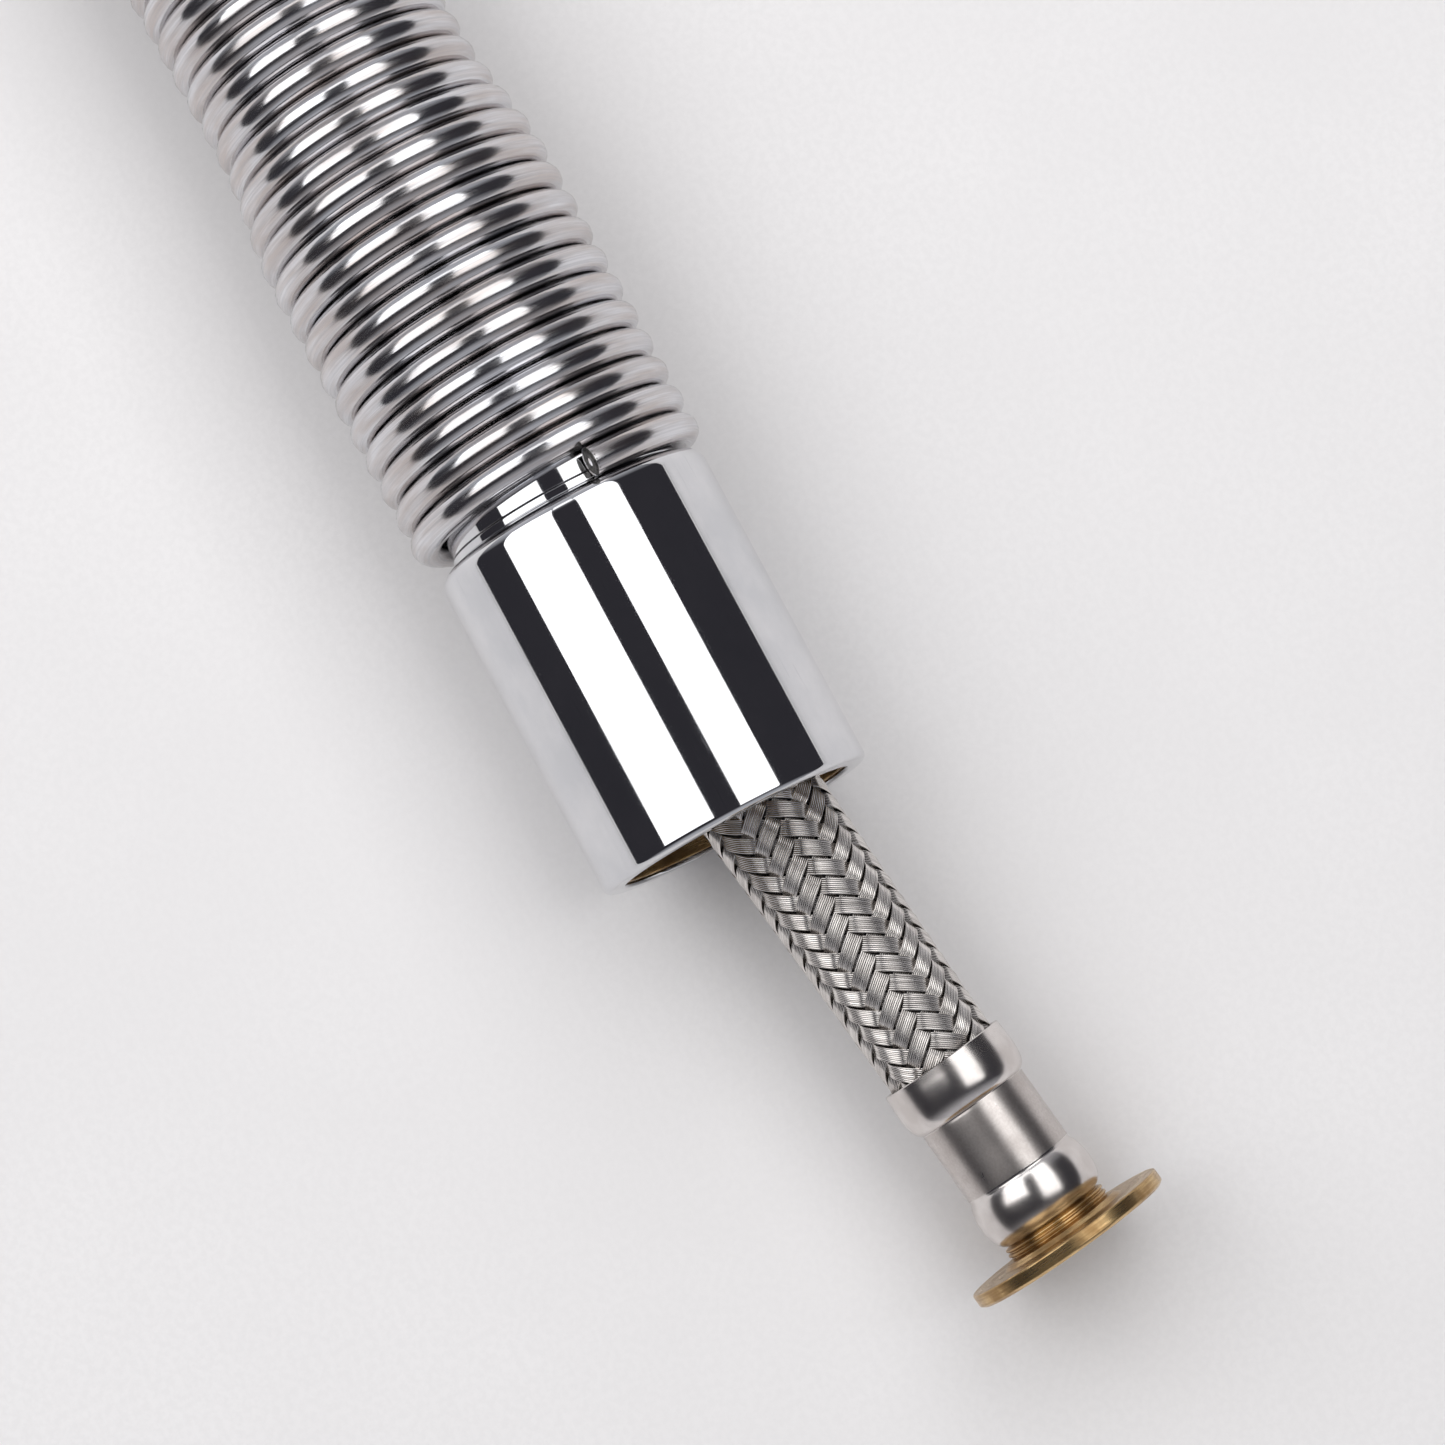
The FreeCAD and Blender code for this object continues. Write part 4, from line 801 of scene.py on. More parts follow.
def strandProfile(tree, known):
    # across one flat strand: a row of round wires on a flat back
    known["index"] = addNode(tree, "GeometryNodeInputIndex").outputs[0]
    for result, operation, *terms in (
        ("steps", "MULTIPLY", "Wires", 3.0),
        ("count", "ADD", "steps", 3.0),
        ("inner", "SUBTRACT", "index", 1.0),
        ("below", "MINIMUM", "inner", "steps"),
        ("held", "MAXIMUM", "below", 0.0),
        ("share", "DIVIDE", "held", "steps"),
        ("centred", "SUBTRACT", "share", 0.5),
        ("across", "MULTIPLY", "centred", "Strand Width"),
        ("phase", "MULTIPLY", "held", math.pi / 3),
        ("wave", "SINE", "phase"),
        ("crests", "ABSOLUTE", "wave"),
        ("passed", "SUBTRACT", "inner", "held"),
        ("outside", "ABSOLUTE", "passed"),
        ("back", "GREATER_THAN", "outside", 0.5),
        ("drop", "MULTIPLY", "back", "Strand Thickness"),
        ("raised", "MULTIPLY", "crests", "Wire Height"),
        ("outward", "SUBTRACT", "raised", "drop"),
    ):
        inputs = {place: known.get(term, term) for place, term in enumerate(terms)}
        known[result] = addNode(tree, "ShaderNodeMath", inputs, operation=operation).outputs[0]
    place = addNode(tree, "ShaderNodeCombineXYZ", {"X": known["outward"], "Y": known["across"]})
    curve = curveThrough(tree, known["count"], place)
    return addNode(tree, "GeometryNodeSetSplineCyclic", {"Geometry": curve, "Cyclic": True})


def strandFamily(tree, sizes, hand):
    # the strands that wind one way; hand is 1.0 or -1.0
    known = dict(sizes)
    line = addNode(tree, "GeometryNodeCurvePrimitiveLine")
    points = addNode(tree, "GeometryNodeResampleCurve", {"Curve": line, "Count": known["Steps"]})
    copies = addNode(tree, "GeometryNodeDuplicateElements", {
        "Geometry": points, "Amount": known["Strands"],
    }, domain="SPLINE")
    known["number"] = copies.outputs["Duplicate Index"]
    known["share"] = addNode(tree, "GeometryNodeSplineParameter").outputs["Factor"]
    for result, operation, *terms in (
        ("rise", "SUBTRACT", "High Height", "Low Height"),
        ("height", "MULTIPLY_ADD", "share", "rise", "Low Height"),
        ("slid", "ADD", "height", "Slide"),
        ("leads", "DIVIDE", "slid", "Lead"),
        ("around", "DIVIDE", "number", "Strands"),
        ("turns", "MULTIPLY_ADD", "leads", hand, "around"),
        ("angle", "MULTIPLY_ADD", "turns", 2 * math.pi, "Turn"),
        ("perLead", "MULTIPLY", "Strands", 2.0 * hand),
        ("twice", "MULTIPLY", "number", 2.0),
        ("crossings", "MULTIPLY_ADD", "leads", "perLead", "twice"),
        ("fromFloat", "SUBTRACT", "crossings", 0.5),
        ("phase", "MULTIPLY", "fromFloat", math.pi / 2),
        ("cosine", "COSINE", "phase"),
        ("swell", "MULTIPLY", "cosine", hand),
        ("steep", "MULTIPLY", "swell", "Steepness"),
        ("capped", "MINIMUM", "steep", 1.0),
        ("held", "MAXIMUM", "capped", -1.0),
        ("crowned", "MULTIPLY_ADD", "swell", "Crown", "held"),
        ("widening", "SUBTRACT", "High Radius", "Low Radius"),
        ("base", "MULTIPLY_ADD", "share", "widening", "Low Radius"),
        ("radius", "MULTIPLY_ADD", "crowned", "Weave Height", "base"),
        ("sideways", "COSINE", "angle"),
        ("upwards", "SINE", "angle"),
        ("x", "MULTIPLY", "radius", "sideways"),
        ("y", "MULTIPLY", "radius", "upwards"),
    ):
        inputs = {place: known.get(term, term) for place, term in enumerate(terms)}
        known[result] = addNode(tree, "ShaderNodeMath", inputs, operation=operation).outputs[0]
    place = addNode(tree, "ShaderNodeCombineXYZ", {"X": known["x"], "Y": known["y"], "Z": known["height"]})
    placed = addNode(tree, "GeometryNodeSetPosition", {"Geometry": copies, "Position": place})
    # the strand's face looks straight out of the hose, also where it dives under the next one
    spot = addNode(tree, "GeometryNodeInputPosition")
    outwards = addNode(tree, "ShaderNodeVectorMath", {0: spot, 1: (1.0, 1.0, 0.0)}, operation="MULTIPLY")
    tangent = addNode(tree, "GeometryNodeInputTangent")
    sloping = addNode(tree, "ShaderNodeVectorMath", {0: outwards, 1: tangent}, operation="PROJECT")
    level = addNode(tree, "ShaderNodeVectorMath", {0: outwards, 1: sloping}, operation="SUBTRACT")
    upright = addNode(tree, "GeometryNodeSetCurveNormal", {"Curve": placed, "Normal": level}, mode="FREE")
    # each strand reads its own stretch of the pattern, this many mm from the strand before it
    stretch = 170.0 + 37.0 * hand
    apart = addNode(tree, "ShaderNodeMath", {0: known["number"], 1: stretch}, operation="MULTIPLY")
    return sweptStrand(tree, upright, strandProfile(tree, dict(sizes)), apart)


def weaveTree():
    tree, sizes, identifiers = newTree("braidWeave", weaveSet, ("Strands", "Wires", "Steps"))
    both = addNode(tree, "GeometryNodeJoinGeometry")
    for hand in (1.0, -1.0):
        tree.links.new(strandFamily(tree, sizes, hand).outputs[0], both.inputs[0])
    endTree(tree, both, braidSteel)
    return tree, identifiers


braidEnd = grow("braidEnd", weaveTree(), weaveSet, tailLine, 60)
settle(braidEnd, braidSteel, "tail", "braid", "hose_braid")
print("braid woven:", len(braidEnd.data.polygons), "faces")


# Hose liner and the braid further in, drawn bent round from the tail's line to the hose's where the hose leaves
# the guard spring

hoseSet = {
    "liner": 5.3,
    "linerStart": 5.2,
    "linerEnd": 366.0,
    "braid": 5.9,
    "braidStart": 54.8,
    "braidEnd": 354.0,
    "bendReach": 9.6,
    "blendReach": 8.0,
}


def hoseRoute(startHeight, endHeight):
    # points of the hose's centre line from the tail, round the bend and up the sprayer
    reach = hoseSet["bendReach"]
    bend = stations["bend"]
    points = [pointOn(tailLine, z=height) for height in (startHeight, (startHeight + bend - reach) / 2)]
    first = pointOn(tailLine, z=bend - reach)
    last = pointOn(hoseLine, z=bend + reach)
    for step in range(9):
        t = step / 8
        points.append(first * (1 - t) ** 2 + bendPoint * 2 * t * (1 - t) + last * t * t)
    for step in range(1, 12):
        height = bend + reach + (endHeight - bend - reach) * step / 11
        points.append(pointOn(hoseLine, z=height))
    return points


def hoseInside():
    v = hoseSet
    liner = tubeShape(hoseRoute(v["linerStart"], v["linerEnd"]), v["liner"] * mm, 40)
    inner = pieceFrom("hoseLiner", liner)
    settle(inner, sealRubber, None, "liner", "hose_liner")
    braid = tubeShape(hoseRoute(v["braidStart"], v["braidEnd"]), v["braid"] * mm, 48)
    cover = pieceFrom("hoseBraid", braid)
    settle(cover, braidSteel, None, "braid", "hose_braid")
    for piece in (inner, cover):
        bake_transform(piece)


hoseInside()


# Ferrules: a stainless cap crimped on the hose, bulged at one end and with a cut rim at the other

# each part of the outline in (radius, height) points
ferruleSet = {
    "start": 3.6,
    "bulge": [
        (5.1, 0.0), (5.55, 0.2), (6.0, 0.65), (6.27, 1.25), (6.42, 2.0), (6.47, 2.85), (6.42, 3.7),
        (6.27, 4.45), (6.05, 5.05), (5.86, 5.4),
    ],
    "waist": [
        (5.83, 5.5), (5.86, 5.8), (5.87, 7.5), (5.86, 9.6), (5.87, 11.6), (5.86, 13.1), (5.83, 13.4),
    ],
    "band": [
        (5.85, 13.5), (6.02, 13.62), (6.32, 13.95), (6.57, 14.5), (6.71, 15.2), (6.77, 16.1), (6.76, 17.1),
        (6.71, 18.0), (6.68, 18.62),
    ],
    "inside": [
        (6.6, 18.7), (6.28, 18.7), (6.2, 18.6), (6.18, 14.8), (5.5, 14.0), (5.5, 1.2), (5.1, 1.2),
    ],
}


def ferrule(name, place, body, node):
    v = ferruleSet
    outside = smoothOutline(v["bulge"]) + smoothOutline(v["waist"], 2) + smoothOutline(v["band"])
    cap = turned(name, outside + v["inside"], place, 112, 30)
    settle(cap, ferruleSteel, body, "stainless", node)


ferrule("inletFerrule", shifted(tailLine, z=ferruleSet["start"]), "tail", "inlet_ferrule")
upperEnd = shifted(hoseLine, z=stations["upperLipEnd"]) @ Matrix.Rotation(math.pi, 4, "X")
ferrule("upperFerrule", upperEnd, "hose", "upper_ferrule")


# Brass tail: a flange that seals in the mouth of a fitting, and a grooved neck

tailSet = {"bore": 2.9, "flange": 10.85, "flangeThick": 1.7, "barb": 3.95, "barbEnd": 21.0}


def inletTail():
    v = tailSet
    corners = [
        (v["bore"], 9.0),
        (v["bore"], 0, 0.4),
        (7.2, 0),
        (7.2, 0.12, 0.05),
        (v["flange"] - 0.4, 0.12, 0.1),
        (v["flange"], 0.4, 0.2),
        (v["flange"], v["flangeThick"], 0.22),
        (6.9, v["flangeThick"], 0.2),
        (6.3, 2.2, 0.2),
        (5.75, 2.3, 0.1),
        (5.45, 2.45, 0.08),
        (5.75, 2.62, 0.1),
        (5.75, 2.82, 0.1),
        (5.4, 3.0, 0.08),
        (5.7, 3.18, 0.1),
        (5.7, 3.34, 0.1),
        (5.35, 3.5, 0.08),
        (4.9, 3.7),
        (4.9, 5.0),
        (v["barb"], 5.0),
        (v["barb"], v["barbEnd"]),
        (v["bore"], v["barbEnd"]),
    ]
    tail = turned("inletTail", outlineOf(corners, 0.05), tailLine, 128, 40)
    settle(tail, brass, "tail", "brass", "inlet_tail")


inletTail()
print("ferrules and brass tail turned")


# Handle: upper bush, collar with the bail's lug, rubber grip and trim ring

gripSet = {
    "end": 15.2,
    "middle": 16.1,
    "bore": 13.05,
    "start": 7.7,
    "length": 104.0,
    "ringGap": 0.2,
    "taper": 9.0,
    "ribs": 3,
    "ribStep": 2.6,
    "ribDepth": 0.5,
}
studSet = {
    "Rows": 12,
    "Around": 14,
    "Row Step": 6.2 * mm,
    "Cylinder Radius": 16.02 * mm,
    "Stud Length": 4.4 * mm,
    "Stud Width": 2.9 * mm,
    "Stud Height": 0.5 * mm,
}


def studTree():
    # rows of raised oval studs round a cylinder, every other row turned by half a step
    tree, known, identifiers = newTree("gripStuds", studSet, ("Rows", "Around"))
    known["index"] = addNode(tree, "GeometryNodeInputIndex").outputs[0]
    for result, operation, *terms in (
        ("count", "MULTIPLY", "Rows", "Around"),
        ("rows", "DIVIDE", "index", "Around"),
        ("row", "FLOOR", "rows"),
        ("place", "SUBTRACT", "rows", "row"),
        ("odd", "MODULO", "row", 2.0),
        ("halfStep", "DIVIDE", 0.5, "Around"),
        ("turn", "MULTIPLY_ADD", "odd", "halfStep", "place"),
        ("angle", "MULTIPLY", "turn", 2 * math.pi),
        ("cosine", "COSINE", "angle"),
        ("sine", "SINE", "angle"),
        ("x", "MULTIPLY", "cosine", "Cylinder Radius"),
        ("y", "MULTIPLY", "sine", "Cylinder Radius"),
        ("z", "MULTIPLY", "row", "Row Step"),
        ("halfLength", "MULTIPLY", "Stud Length", 0.5),
        ("halfWidth", "MULTIPLY", "Stud Width", 0.5),
    ):
        inputs = {place: known.get(term, term) for place, term in enumerate(terms)}
        known[result] = addNode(tree, "ShaderNodeMath", inputs, operation=operation).outputs[0]
    line = addNode(tree, "GeometryNodeMeshLine", {"Count": known["count"]})
    place = addNode(tree, "ShaderNodeCombineXYZ", {"X": known["x"], "Y": known["y"], "Z": known["z"]})
    placed = addNode(tree, "GeometryNodeSetPosition", {"Geometry": line, "Position": place})
    stud = addNode(tree, "GeometryNodeMeshUVSphere", {"Segments": 10, "Rings": 6, "Radius": 1.0})
    size = addNode(tree, "ShaderNodeCombineXYZ", {
        "X": known["Stud Height"], "Y": known["halfWidth"], "Z": known["halfLength"],
    })
    studs = addNode(tree, "GeometryNodeInstanceOnPoints", {
        "Points": placed, "Instance": stud, "Scale": size,
        "Rotation": addNode(tree, "ShaderNodeCombineXYZ", {"Z": known["angle"]}),
    })
    endTree(tree, studs, gripRubber)
    return tree, identifiers


def handleTrim():
    place = shifted(hoseLine, z=stations["upperCollar"])
    corners = [
        (9.2, -31), (12.2, -31, 0.4), (12.2, -0.1, 0.1), (15.3, 0, 0.6), (15.3, 3.5, 0.6), (11, 3.5),
        (11, 23, 0.3), (9.2, 23),
    ]
    settle(turned("upperBush", outlineOf(corners), place), chrome, "handle", "chrome", "upper_bush")

    place = shifted(hoseLine, z=stations["coreStart"])
    bore = gripSet["bore"]
    corners = [
        (bore, 0), (16, 0, 1.0), (16, 2.6, 0.15), (15.6, 2.9, 0.15), (15.6, 4.6, 0.15), (16, 4.9, 0.15),
        (16, 7.5, 1.0), (bore, 7.5),
    ]
    settle(turned("lowerCollar", outlineOf(corners), place), chrome, "handle", "chrome", "lower_collar")
    lug = outlineOf([(8.5, -14.2), (8.5, -21.4, 2.6), (-8.5, -21.4, 2.6), (-8.5, -14.2)], None)
    settle(pieceFrom("bailLug", extrudedShape(lug, place, 0.3, 7.2, 0.9)), castChrome, "handle", "chrome")

    place = shifted(place, z=gripSet["start"] + gripSet["length"] + gripSet["ringGap"])
    corners = [
        (bore, 0), (15.5, 0, 0.8), (15.5, 2.3, 0.15), (15.15, 2.55, 0.15), (15.15, 3.05, 0.15),
        (15.5, 3.3, 0.15), (15.5, 5.6, 0.8), (bore, 5.6),
    ]
    settle(turned("upperRing", outlineOf(corners), place), chrome, "handle", "chrome", "upper_ring")


def gripSleeve():
    v = gripSet
    place = shifted(hoseLine, z=stations["coreStart"] + v["start"])
    # the outline of one half, from the end to the last groove, then the same mirrored
    half = [(v["end"], 0, 0.9), (v["middle"] + 0.15, v["taper"] - 0.5, 6.0)]
    for rib in range(v["ribs"]):
        height = v["taper"] + 1.0 + rib * v["ribStep"]
        half += [
            (v["middle"], height, 0.4),
            (v["middle"] - v["ribDepth"], height + 0.5, 0.35),
            (v["middle"] - v["ribDepth"], height + 0.8, 0.35),
            (v["middle"], height + 1.3, 0.4),
        ]
    mirrored = [(corner[0], v["length"] - corner[1], corner[2]) for corner in reversed(half)]
    corners = [(v["bore"], 0)] + half + mirrored + [(v["bore"], v["length"])]
    sleeve = turned("gripSleeve", outlineOf(corners, 0.2), place, 112)
    settle(sleeve, gripRubber, "handle", "grip", "grip_sleeve")
    studSpan = (studSet["Rows"] - 1) * studSet["Row Step"] / mm
    studs = grow("gripStuds", studTree(), studSet, shifted(place, z=(v["length"] - studSpan) / 2), 60)
    settle(studs, gripRubber, "handle", "grip")


handleTrim()
gripSleeve()


# Hold-open bail: a wire loop that hangs in the lug and hooks over the squeezed lever

bailSet = {
    "wire": 1.2,
    "half": 12.4,
    "reach": 27.0,
    "bend": 3.6,
    "stubEnd": 4.5,
    "pivotSide": 18.2,
    "pivotHeight": 3.75,
}


def bail():
    v = bailSet
    half, reach, bend = v["half"], v["reach"], v["bend"]
    corners = [
        (v["stubEnd"], 0), (half, 0, bend), (half, -reach, bend),
        (-half, -reach, bend), (-half, 0, bend), (-v["stubEnd"], 0),
    ]
    place = shifted(hoseLine, y=-v["pivotSide"], z=stations["coreStart"] + v["pivotHeight"])
    # the last two points lie between the ends of the wire, where it is open
    route = [pointOn(place, x, 0, z) for x, z in outlineOf(corners, 0.4)[:-2]]
    loop = pieceFrom("bailLoop", tubeShape(route, v["wire"] * mm, 24, side))
    settle(loop, turnedSteel, "bail", "stainless", "bail")


bail()
print("handle, grip and bail made")


# Valve body: a turned barrel with the grip's neck running into it through a soft fillet

bodySet = {
    "barrel": 17.0,
    "rear": 20.0,
    "front": 18.0,
    "thread": 14.0,
    "threadLength": 8.0,
    "chamber": 11.0,
    "neck": 13.5,
    "neckBore": 9.05,
    "boreStart": 12.8,
    "neckReach": 36.8,
    "fillet": 4.0,
    "footInside": 0.93,
    "around": 96,
}


def neckShape():
    # rings round the neck, from inside the barrel's wall out over the fillet to the neck's end
    v = bodySet
    barrel, neck, fillet = v["barrel"], v["neck"], v["fillet"]
    end, bore = v["neckReach"], v["neckBore"]
    shape = bmesh.new()
    columns = []
    for step in range(v["around"]):
        turn = 2 * math.pi * step / v["around"]
        x, z = neck * math.cos(turn), neck * math.sin(turn)
        lean = math.asin(x / barrel) + fillet * math.cos(turn) / barrel
        foot = Vector((barrel * math.sin(lean), barrel * math.cos(lean), z + fillet * math.sin(turn)))
        corner = Vector((x, (barrel ** 2 - x * foot.x) / foot.y, z))
        top = Vector((x, corner.y + fillet, z))
        points = [Vector((foot.x * v["footInside"], foot.y * v["footInside"], foot.z))]
        for level in range(11):
            t = level / 10
            points.append(foot * (1 - t) ** 2 + corner * 2 * t * (1 - t) + top * t * t)
        for radius, height in (
            (neck, end - 0.9), (neck, end - 0.5), (neck - 0.15, end - 0.15), (neck - 0.5, end),
            (bore, end), (bore, v["boreStart"]),
        ):
            points.append(Vector((radius * math.cos(turn), height, radius * math.sin(turn))))
        columns.append([shape.verts.new(headLine @ (point * mm)) for point in points])
    for near, far in zip(columns, columns[1:] + columns[:1]):
        for row in range(len(near)):
            following = (row + 1) % len(near)
            shape.faces.new((near[row], far[row], far[following], near[following]))
    return shape


def valveBody():
    v = bodySet
    corners = [
        (v["chamber"], -v["rear"]),
        (v["barrel"], -v["rear"], 0.7),
        (v["barrel"], v["front"], 0.7),
        (v["thread"], v["front"], 0.1),
        (v["thread"], v["front"] + v["threadLength"], 0.4),
        (v["chamber"], v["front"] + v["threadLength"]),
    ]
    barrel = turned("valveBarrel", outlineOf(corners), headLine, 144)
    settle(barrel, chrome, "handle", "chrome", "valve_body")
    settle(pieceFrom("valveNeck", neckShape(), 50), castChrome, "handle", "chrome")


# Bonnet: the rear cover with the gland, and two ears that carry the lever's pin

bonnetSet = {
    "rear": 33.0,
    "flange": 19.5,
    "flangeLow": 6.2,
    "flangeHigh": 12.2,
    "boss": 8.5,
    "bore": 5.0,
    "shank": 13.0,
    "earInner": 7.0,
    "earThick": 2.5,
    "earRound": 3.6,
    "pivotY": -20.0,
    "pivotZ": -39.0,
}


def bonnet():
    v = bonnetSet
    place = shifted(headLine, z=-v["rear"])
    low, high = v["flangeLow"], v["flangeHigh"]
    corners = [
        (v["bore"], 5.0),
        (v["bore"], 0, 0.2),
        (v["boss"], 0, 0.9),
        (v["boss"], low, 1.2),
        (v["flange"] - 2.2, low, 0.3),
        (v["flange"], low + 1.4, 0.8),
        (v["flange"], high, 0.8),
        (v["shank"], high),
        (v["shank"], high + 9.0, 0.3),
        (9.6, high + 9.0),
        (9.6, high),
        (2.6, high),
        (2.6, 5.0),
    ]
    settle(turned("bonnetCover", outlineOf(corners), place, 144), chrome, "handle", "chrome", "bonnet")
    inner, outer, top = 13.05, 17.0, high + 0.8
    ring = outlineOf([(inner, high), (outer, high, 0.15), (outer, top, 0.15), (inner, top)], None)
    settle(turned("bonnetGasket", ring, place), sealRubber, "handle", "seal", "bonnet_gasket")


def bonnetEars():
    # drawn in the plane of the lever's swing: Y along the first axis, Z along the second
    v = bonnetSet
    swing = headLine @ Matrix(((0, 0, 1, 0), (1, 0, 0, 0), (0, 1, 0, 0), (0, 0, 0, 1)))
    earRound, thick, y, z = v["earRound"], v["earThick"], v["pivotY"], v["pivotZ"]
    foot = v["flangeLow"] - v["rear"] + 3.0
    outline = []
    for step in range(17):
        turn = math.pi + math.pi * step / 16
        outline.append((y + earRound * math.cos(turn), z + earRound * math.sin(turn)))
    outline += outlineOf([
        (y + earRound, z), (y + earRound, foot - 6.0, 5.0), (-9.0, foot - 2.6, 2.0), (-9.0, foot),
        (y - earRound, foot, 0.8), (y - earRound, z),
    ], None)[1:-1]
    for name, inside in (("bonnetEarLeft", -v["earInner"] - thick), ("bonnetEarRight", v["earInner"])):
        ear = extrudedShape(outline, swing, inside, inside + thick, 0.45)
        settle(pieceFrom(name, ear), castChrome, "handle", "chrome")


def glandNut():
    corner = 7.5
    flat = corner * math.cos(math.pi / 6)
    nut = [
        (2.55, 5.0), (2.55, 0), (flat - 0.4, 0), (corner, 0.55, flat), (corner, 2.35, flat),
        (flat - 0.4, 2.9), (4.9, 2.9), (4.9, 5.0),
    ]
    gland = turned("glandNut", nut, shifted(headLine, z=-bonnetSet["rear"] - 3.0), 96, 25)
    settle(gland, brass, "handle", "brass", "gland_nut")


valveBody()
bonnet()
bonnetEars()
glandNut()


# Return spring: one end stands on the valve's seat and the other is pushed by the stem

returnSpringSet = {
    **springSet,
    "Turns": 5.0,
    "End Turns": 0.0,
    "Taper Turns": 0.5,
    "End Radius": 7.4 * mm,
    "Middle Radius": 7.4 * mm,
    "End Pitch": 2.24 * mm,
    "Middle Pitch": 2.24 * mm,
    "Bow": 0.0,
    "Wire Radius": 0.55 * mm,
    "Steps Per Turn": 32,
    "Sides": 10,
}


def returnSpring():
    pushedEnd, seatedEnd = -6.85, 4.35
    made = woundWireTree("returnSpringWire", darkSteel)
    spring = grow("returnSpring", made, returnSpringSet, shifted(headLine, z=pushedEnd), 50)
    settle(spring, darkSteel, None, "spring_steel", "return_spring")
    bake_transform(spring)


returnSpring()
print("valve body and bonnet made")


# Lever: a channel of pressed sheet, wide over the ears and narrower along the grip

# rows of (place along the lever, value), and the places of the sections
leverSet = {
    "sheet": 1.8,
    "bend": 2.4,
    "outer": [(-24.6, -44.85), (24, -44.85), (48, -35.4), (134, -37.4)],
    "lip": [(-24.6, -37.5), (-20, -33.6), (-14.5, -33.5), (24, -38.85), (48, -29.4), (134, -31.4)],
    "halfWidth": [(-24.6, 11.6), (21, 11.6), (27, 10), (127, 10), (131, 9.0), (133, 7.6), (134, 6.0)],
    "sections": [
        -24.6, -24.2, -23, -21, -19, -16, -13, -8, 0, 8, 15, 18, 20, 22, 24, 26, 28, 31, 35, 39, 42, 44,
        46, 48, 50, 52, 55, 60, 80, 105, 124, 127, 129, 131, 132, 133, 133.6, 134,
    ],
}


def valueAt(table, y, reach):
    # a value read from (y, value) rows, averaged over a short reach so that bends come out round
    total = 0.0
    for step in range(-4, 5):
        here = min(max(y + reach * step / 4, table[0][0]), table[-1][0])
        for (low, first), (high, last) in zip(table, table[1:]):
            if low <= here <= high:
                total += first + (last - first) * (here - low) / (high - low)
                break
    return total / 9


def lever():
    v = leverSet
    sheet = v["sheet"]
    shape = bmesh.new()
    rings = []
    for y in v["sections"]:
        half = valueAt(v["halfWidth"], y, 0.8)
        outer = valueAt(v["outer"], y, 4.0)
        lip = valueAt(v["lip"], y, 2.0)
        section = outlineOf([
            (half, lip, 0.5), (half, outer, v["bend"]), (-half, outer, v["bend"]), (-half, lip, 0.5),
            (-half + sheet, lip, 0.5), (-half + sheet, outer + sheet, v["bend"] - sheet),
            (half - sheet, outer + sheet, v["bend"] - sheet), (half - sheet, lip, 0.5),
        ], None)
        rings.append([shape.verts.new(pointOn(headLine, x, y, z)) for x, z in section])
    settle(pieceFrom("leverChannel", skin(shape, rings), 45), sheetSteel, "lever", "stainless", "lever")


pinSet = {
    "half": 13.15,
    "radius": 1.5,
    "clipPlace": 11.8,
    "clipThick": 0.6,
    "clipOuter": 3.2,
    "clipInner": 1.56,
    "clipSlot": 0.75,
}


def pinAndClips():
    v = pinSet
    pivot = shifted(headLine, y=bonnetSet["pivotY"], z=bonnetSet["pivotZ"])
    across = pivot @ Matrix.Rotation(math.pi / 2, 4, "Y")
    half, radius, thick = v["half"], v["radius"], v["clipThick"]
    pin = outlineOf([(0, -half), (radius, -half, 0.4), (radius, half, 0.4), (0, half)])
    settle(turned("leverPin", pin, across, 48), turnedSteel, "handle", "stainless", "lever_pin")
    # an open ring: round the outside from one edge of the slot to the other, and back inside
    slot = math.asin(v["clipSlot"] / v["clipOuter"])
    outline = []
    for ring, start, end in (
        (v["clipOuter"], slot, 2 * math.pi - slot),
        (v["clipInner"], 2 * math.pi - 0.5, 0.5),
    ):
        for step in range(29):
            turn = start + (end - start) * step / 28
            outline.append((ring * math.cos(turn), ring * math.sin(turn)))
    for name, low, nodes in (
        ("pinClipLeft", v["clipPlace"], ["pin_clips"]),
        ("pinClipRight", -v["clipPlace"] - thick, []),
    ):
        clip = extrudedShape(outline, across, low, low + thick, 0.12, 2)
        settle(pieceFrom(name, clip), darkSteel, "handle", "spring_steel", *nodes)


lever()
pinAndClips()
print("lever and pin made")


# Spray head: a flared bell, a perforated plate with its screw, and a rubber bumper round the rim

bellSet = {
    "rear": 18.2,
    "socket": 14.05,
    "socketDepth": 8.8,
    "barrel": 17.0,
    "flare": 8.0,
    "outer": 18.2,
    "length": 17.8,
    "recess": 15.75,
    "step": 11.8,
    "cavity": 14.6,
}
bumperSet = {
    "place": 27.0,
    "inner": 18.25,
    "outer": 19.5,
    "length": 11.5,
    "lipBore": 15.9,
    "lip": 2.4,
    "grooves": 3,
    "grooveStep": 2.3,
    "grooveDepth": 0.4,
}
plateTop = 34.75
rimDrop = 0.13
screwFlat = 1.25
jetSet = {
    "First Ring": 5.4 * mm,
    "Ring Step": 3.6 * mm,
    "First Count": 12,
    "Added Count": 6,
    "Rim Radius": 0.74 * mm,
    "Rim Wire": 0.17 * mm,
}


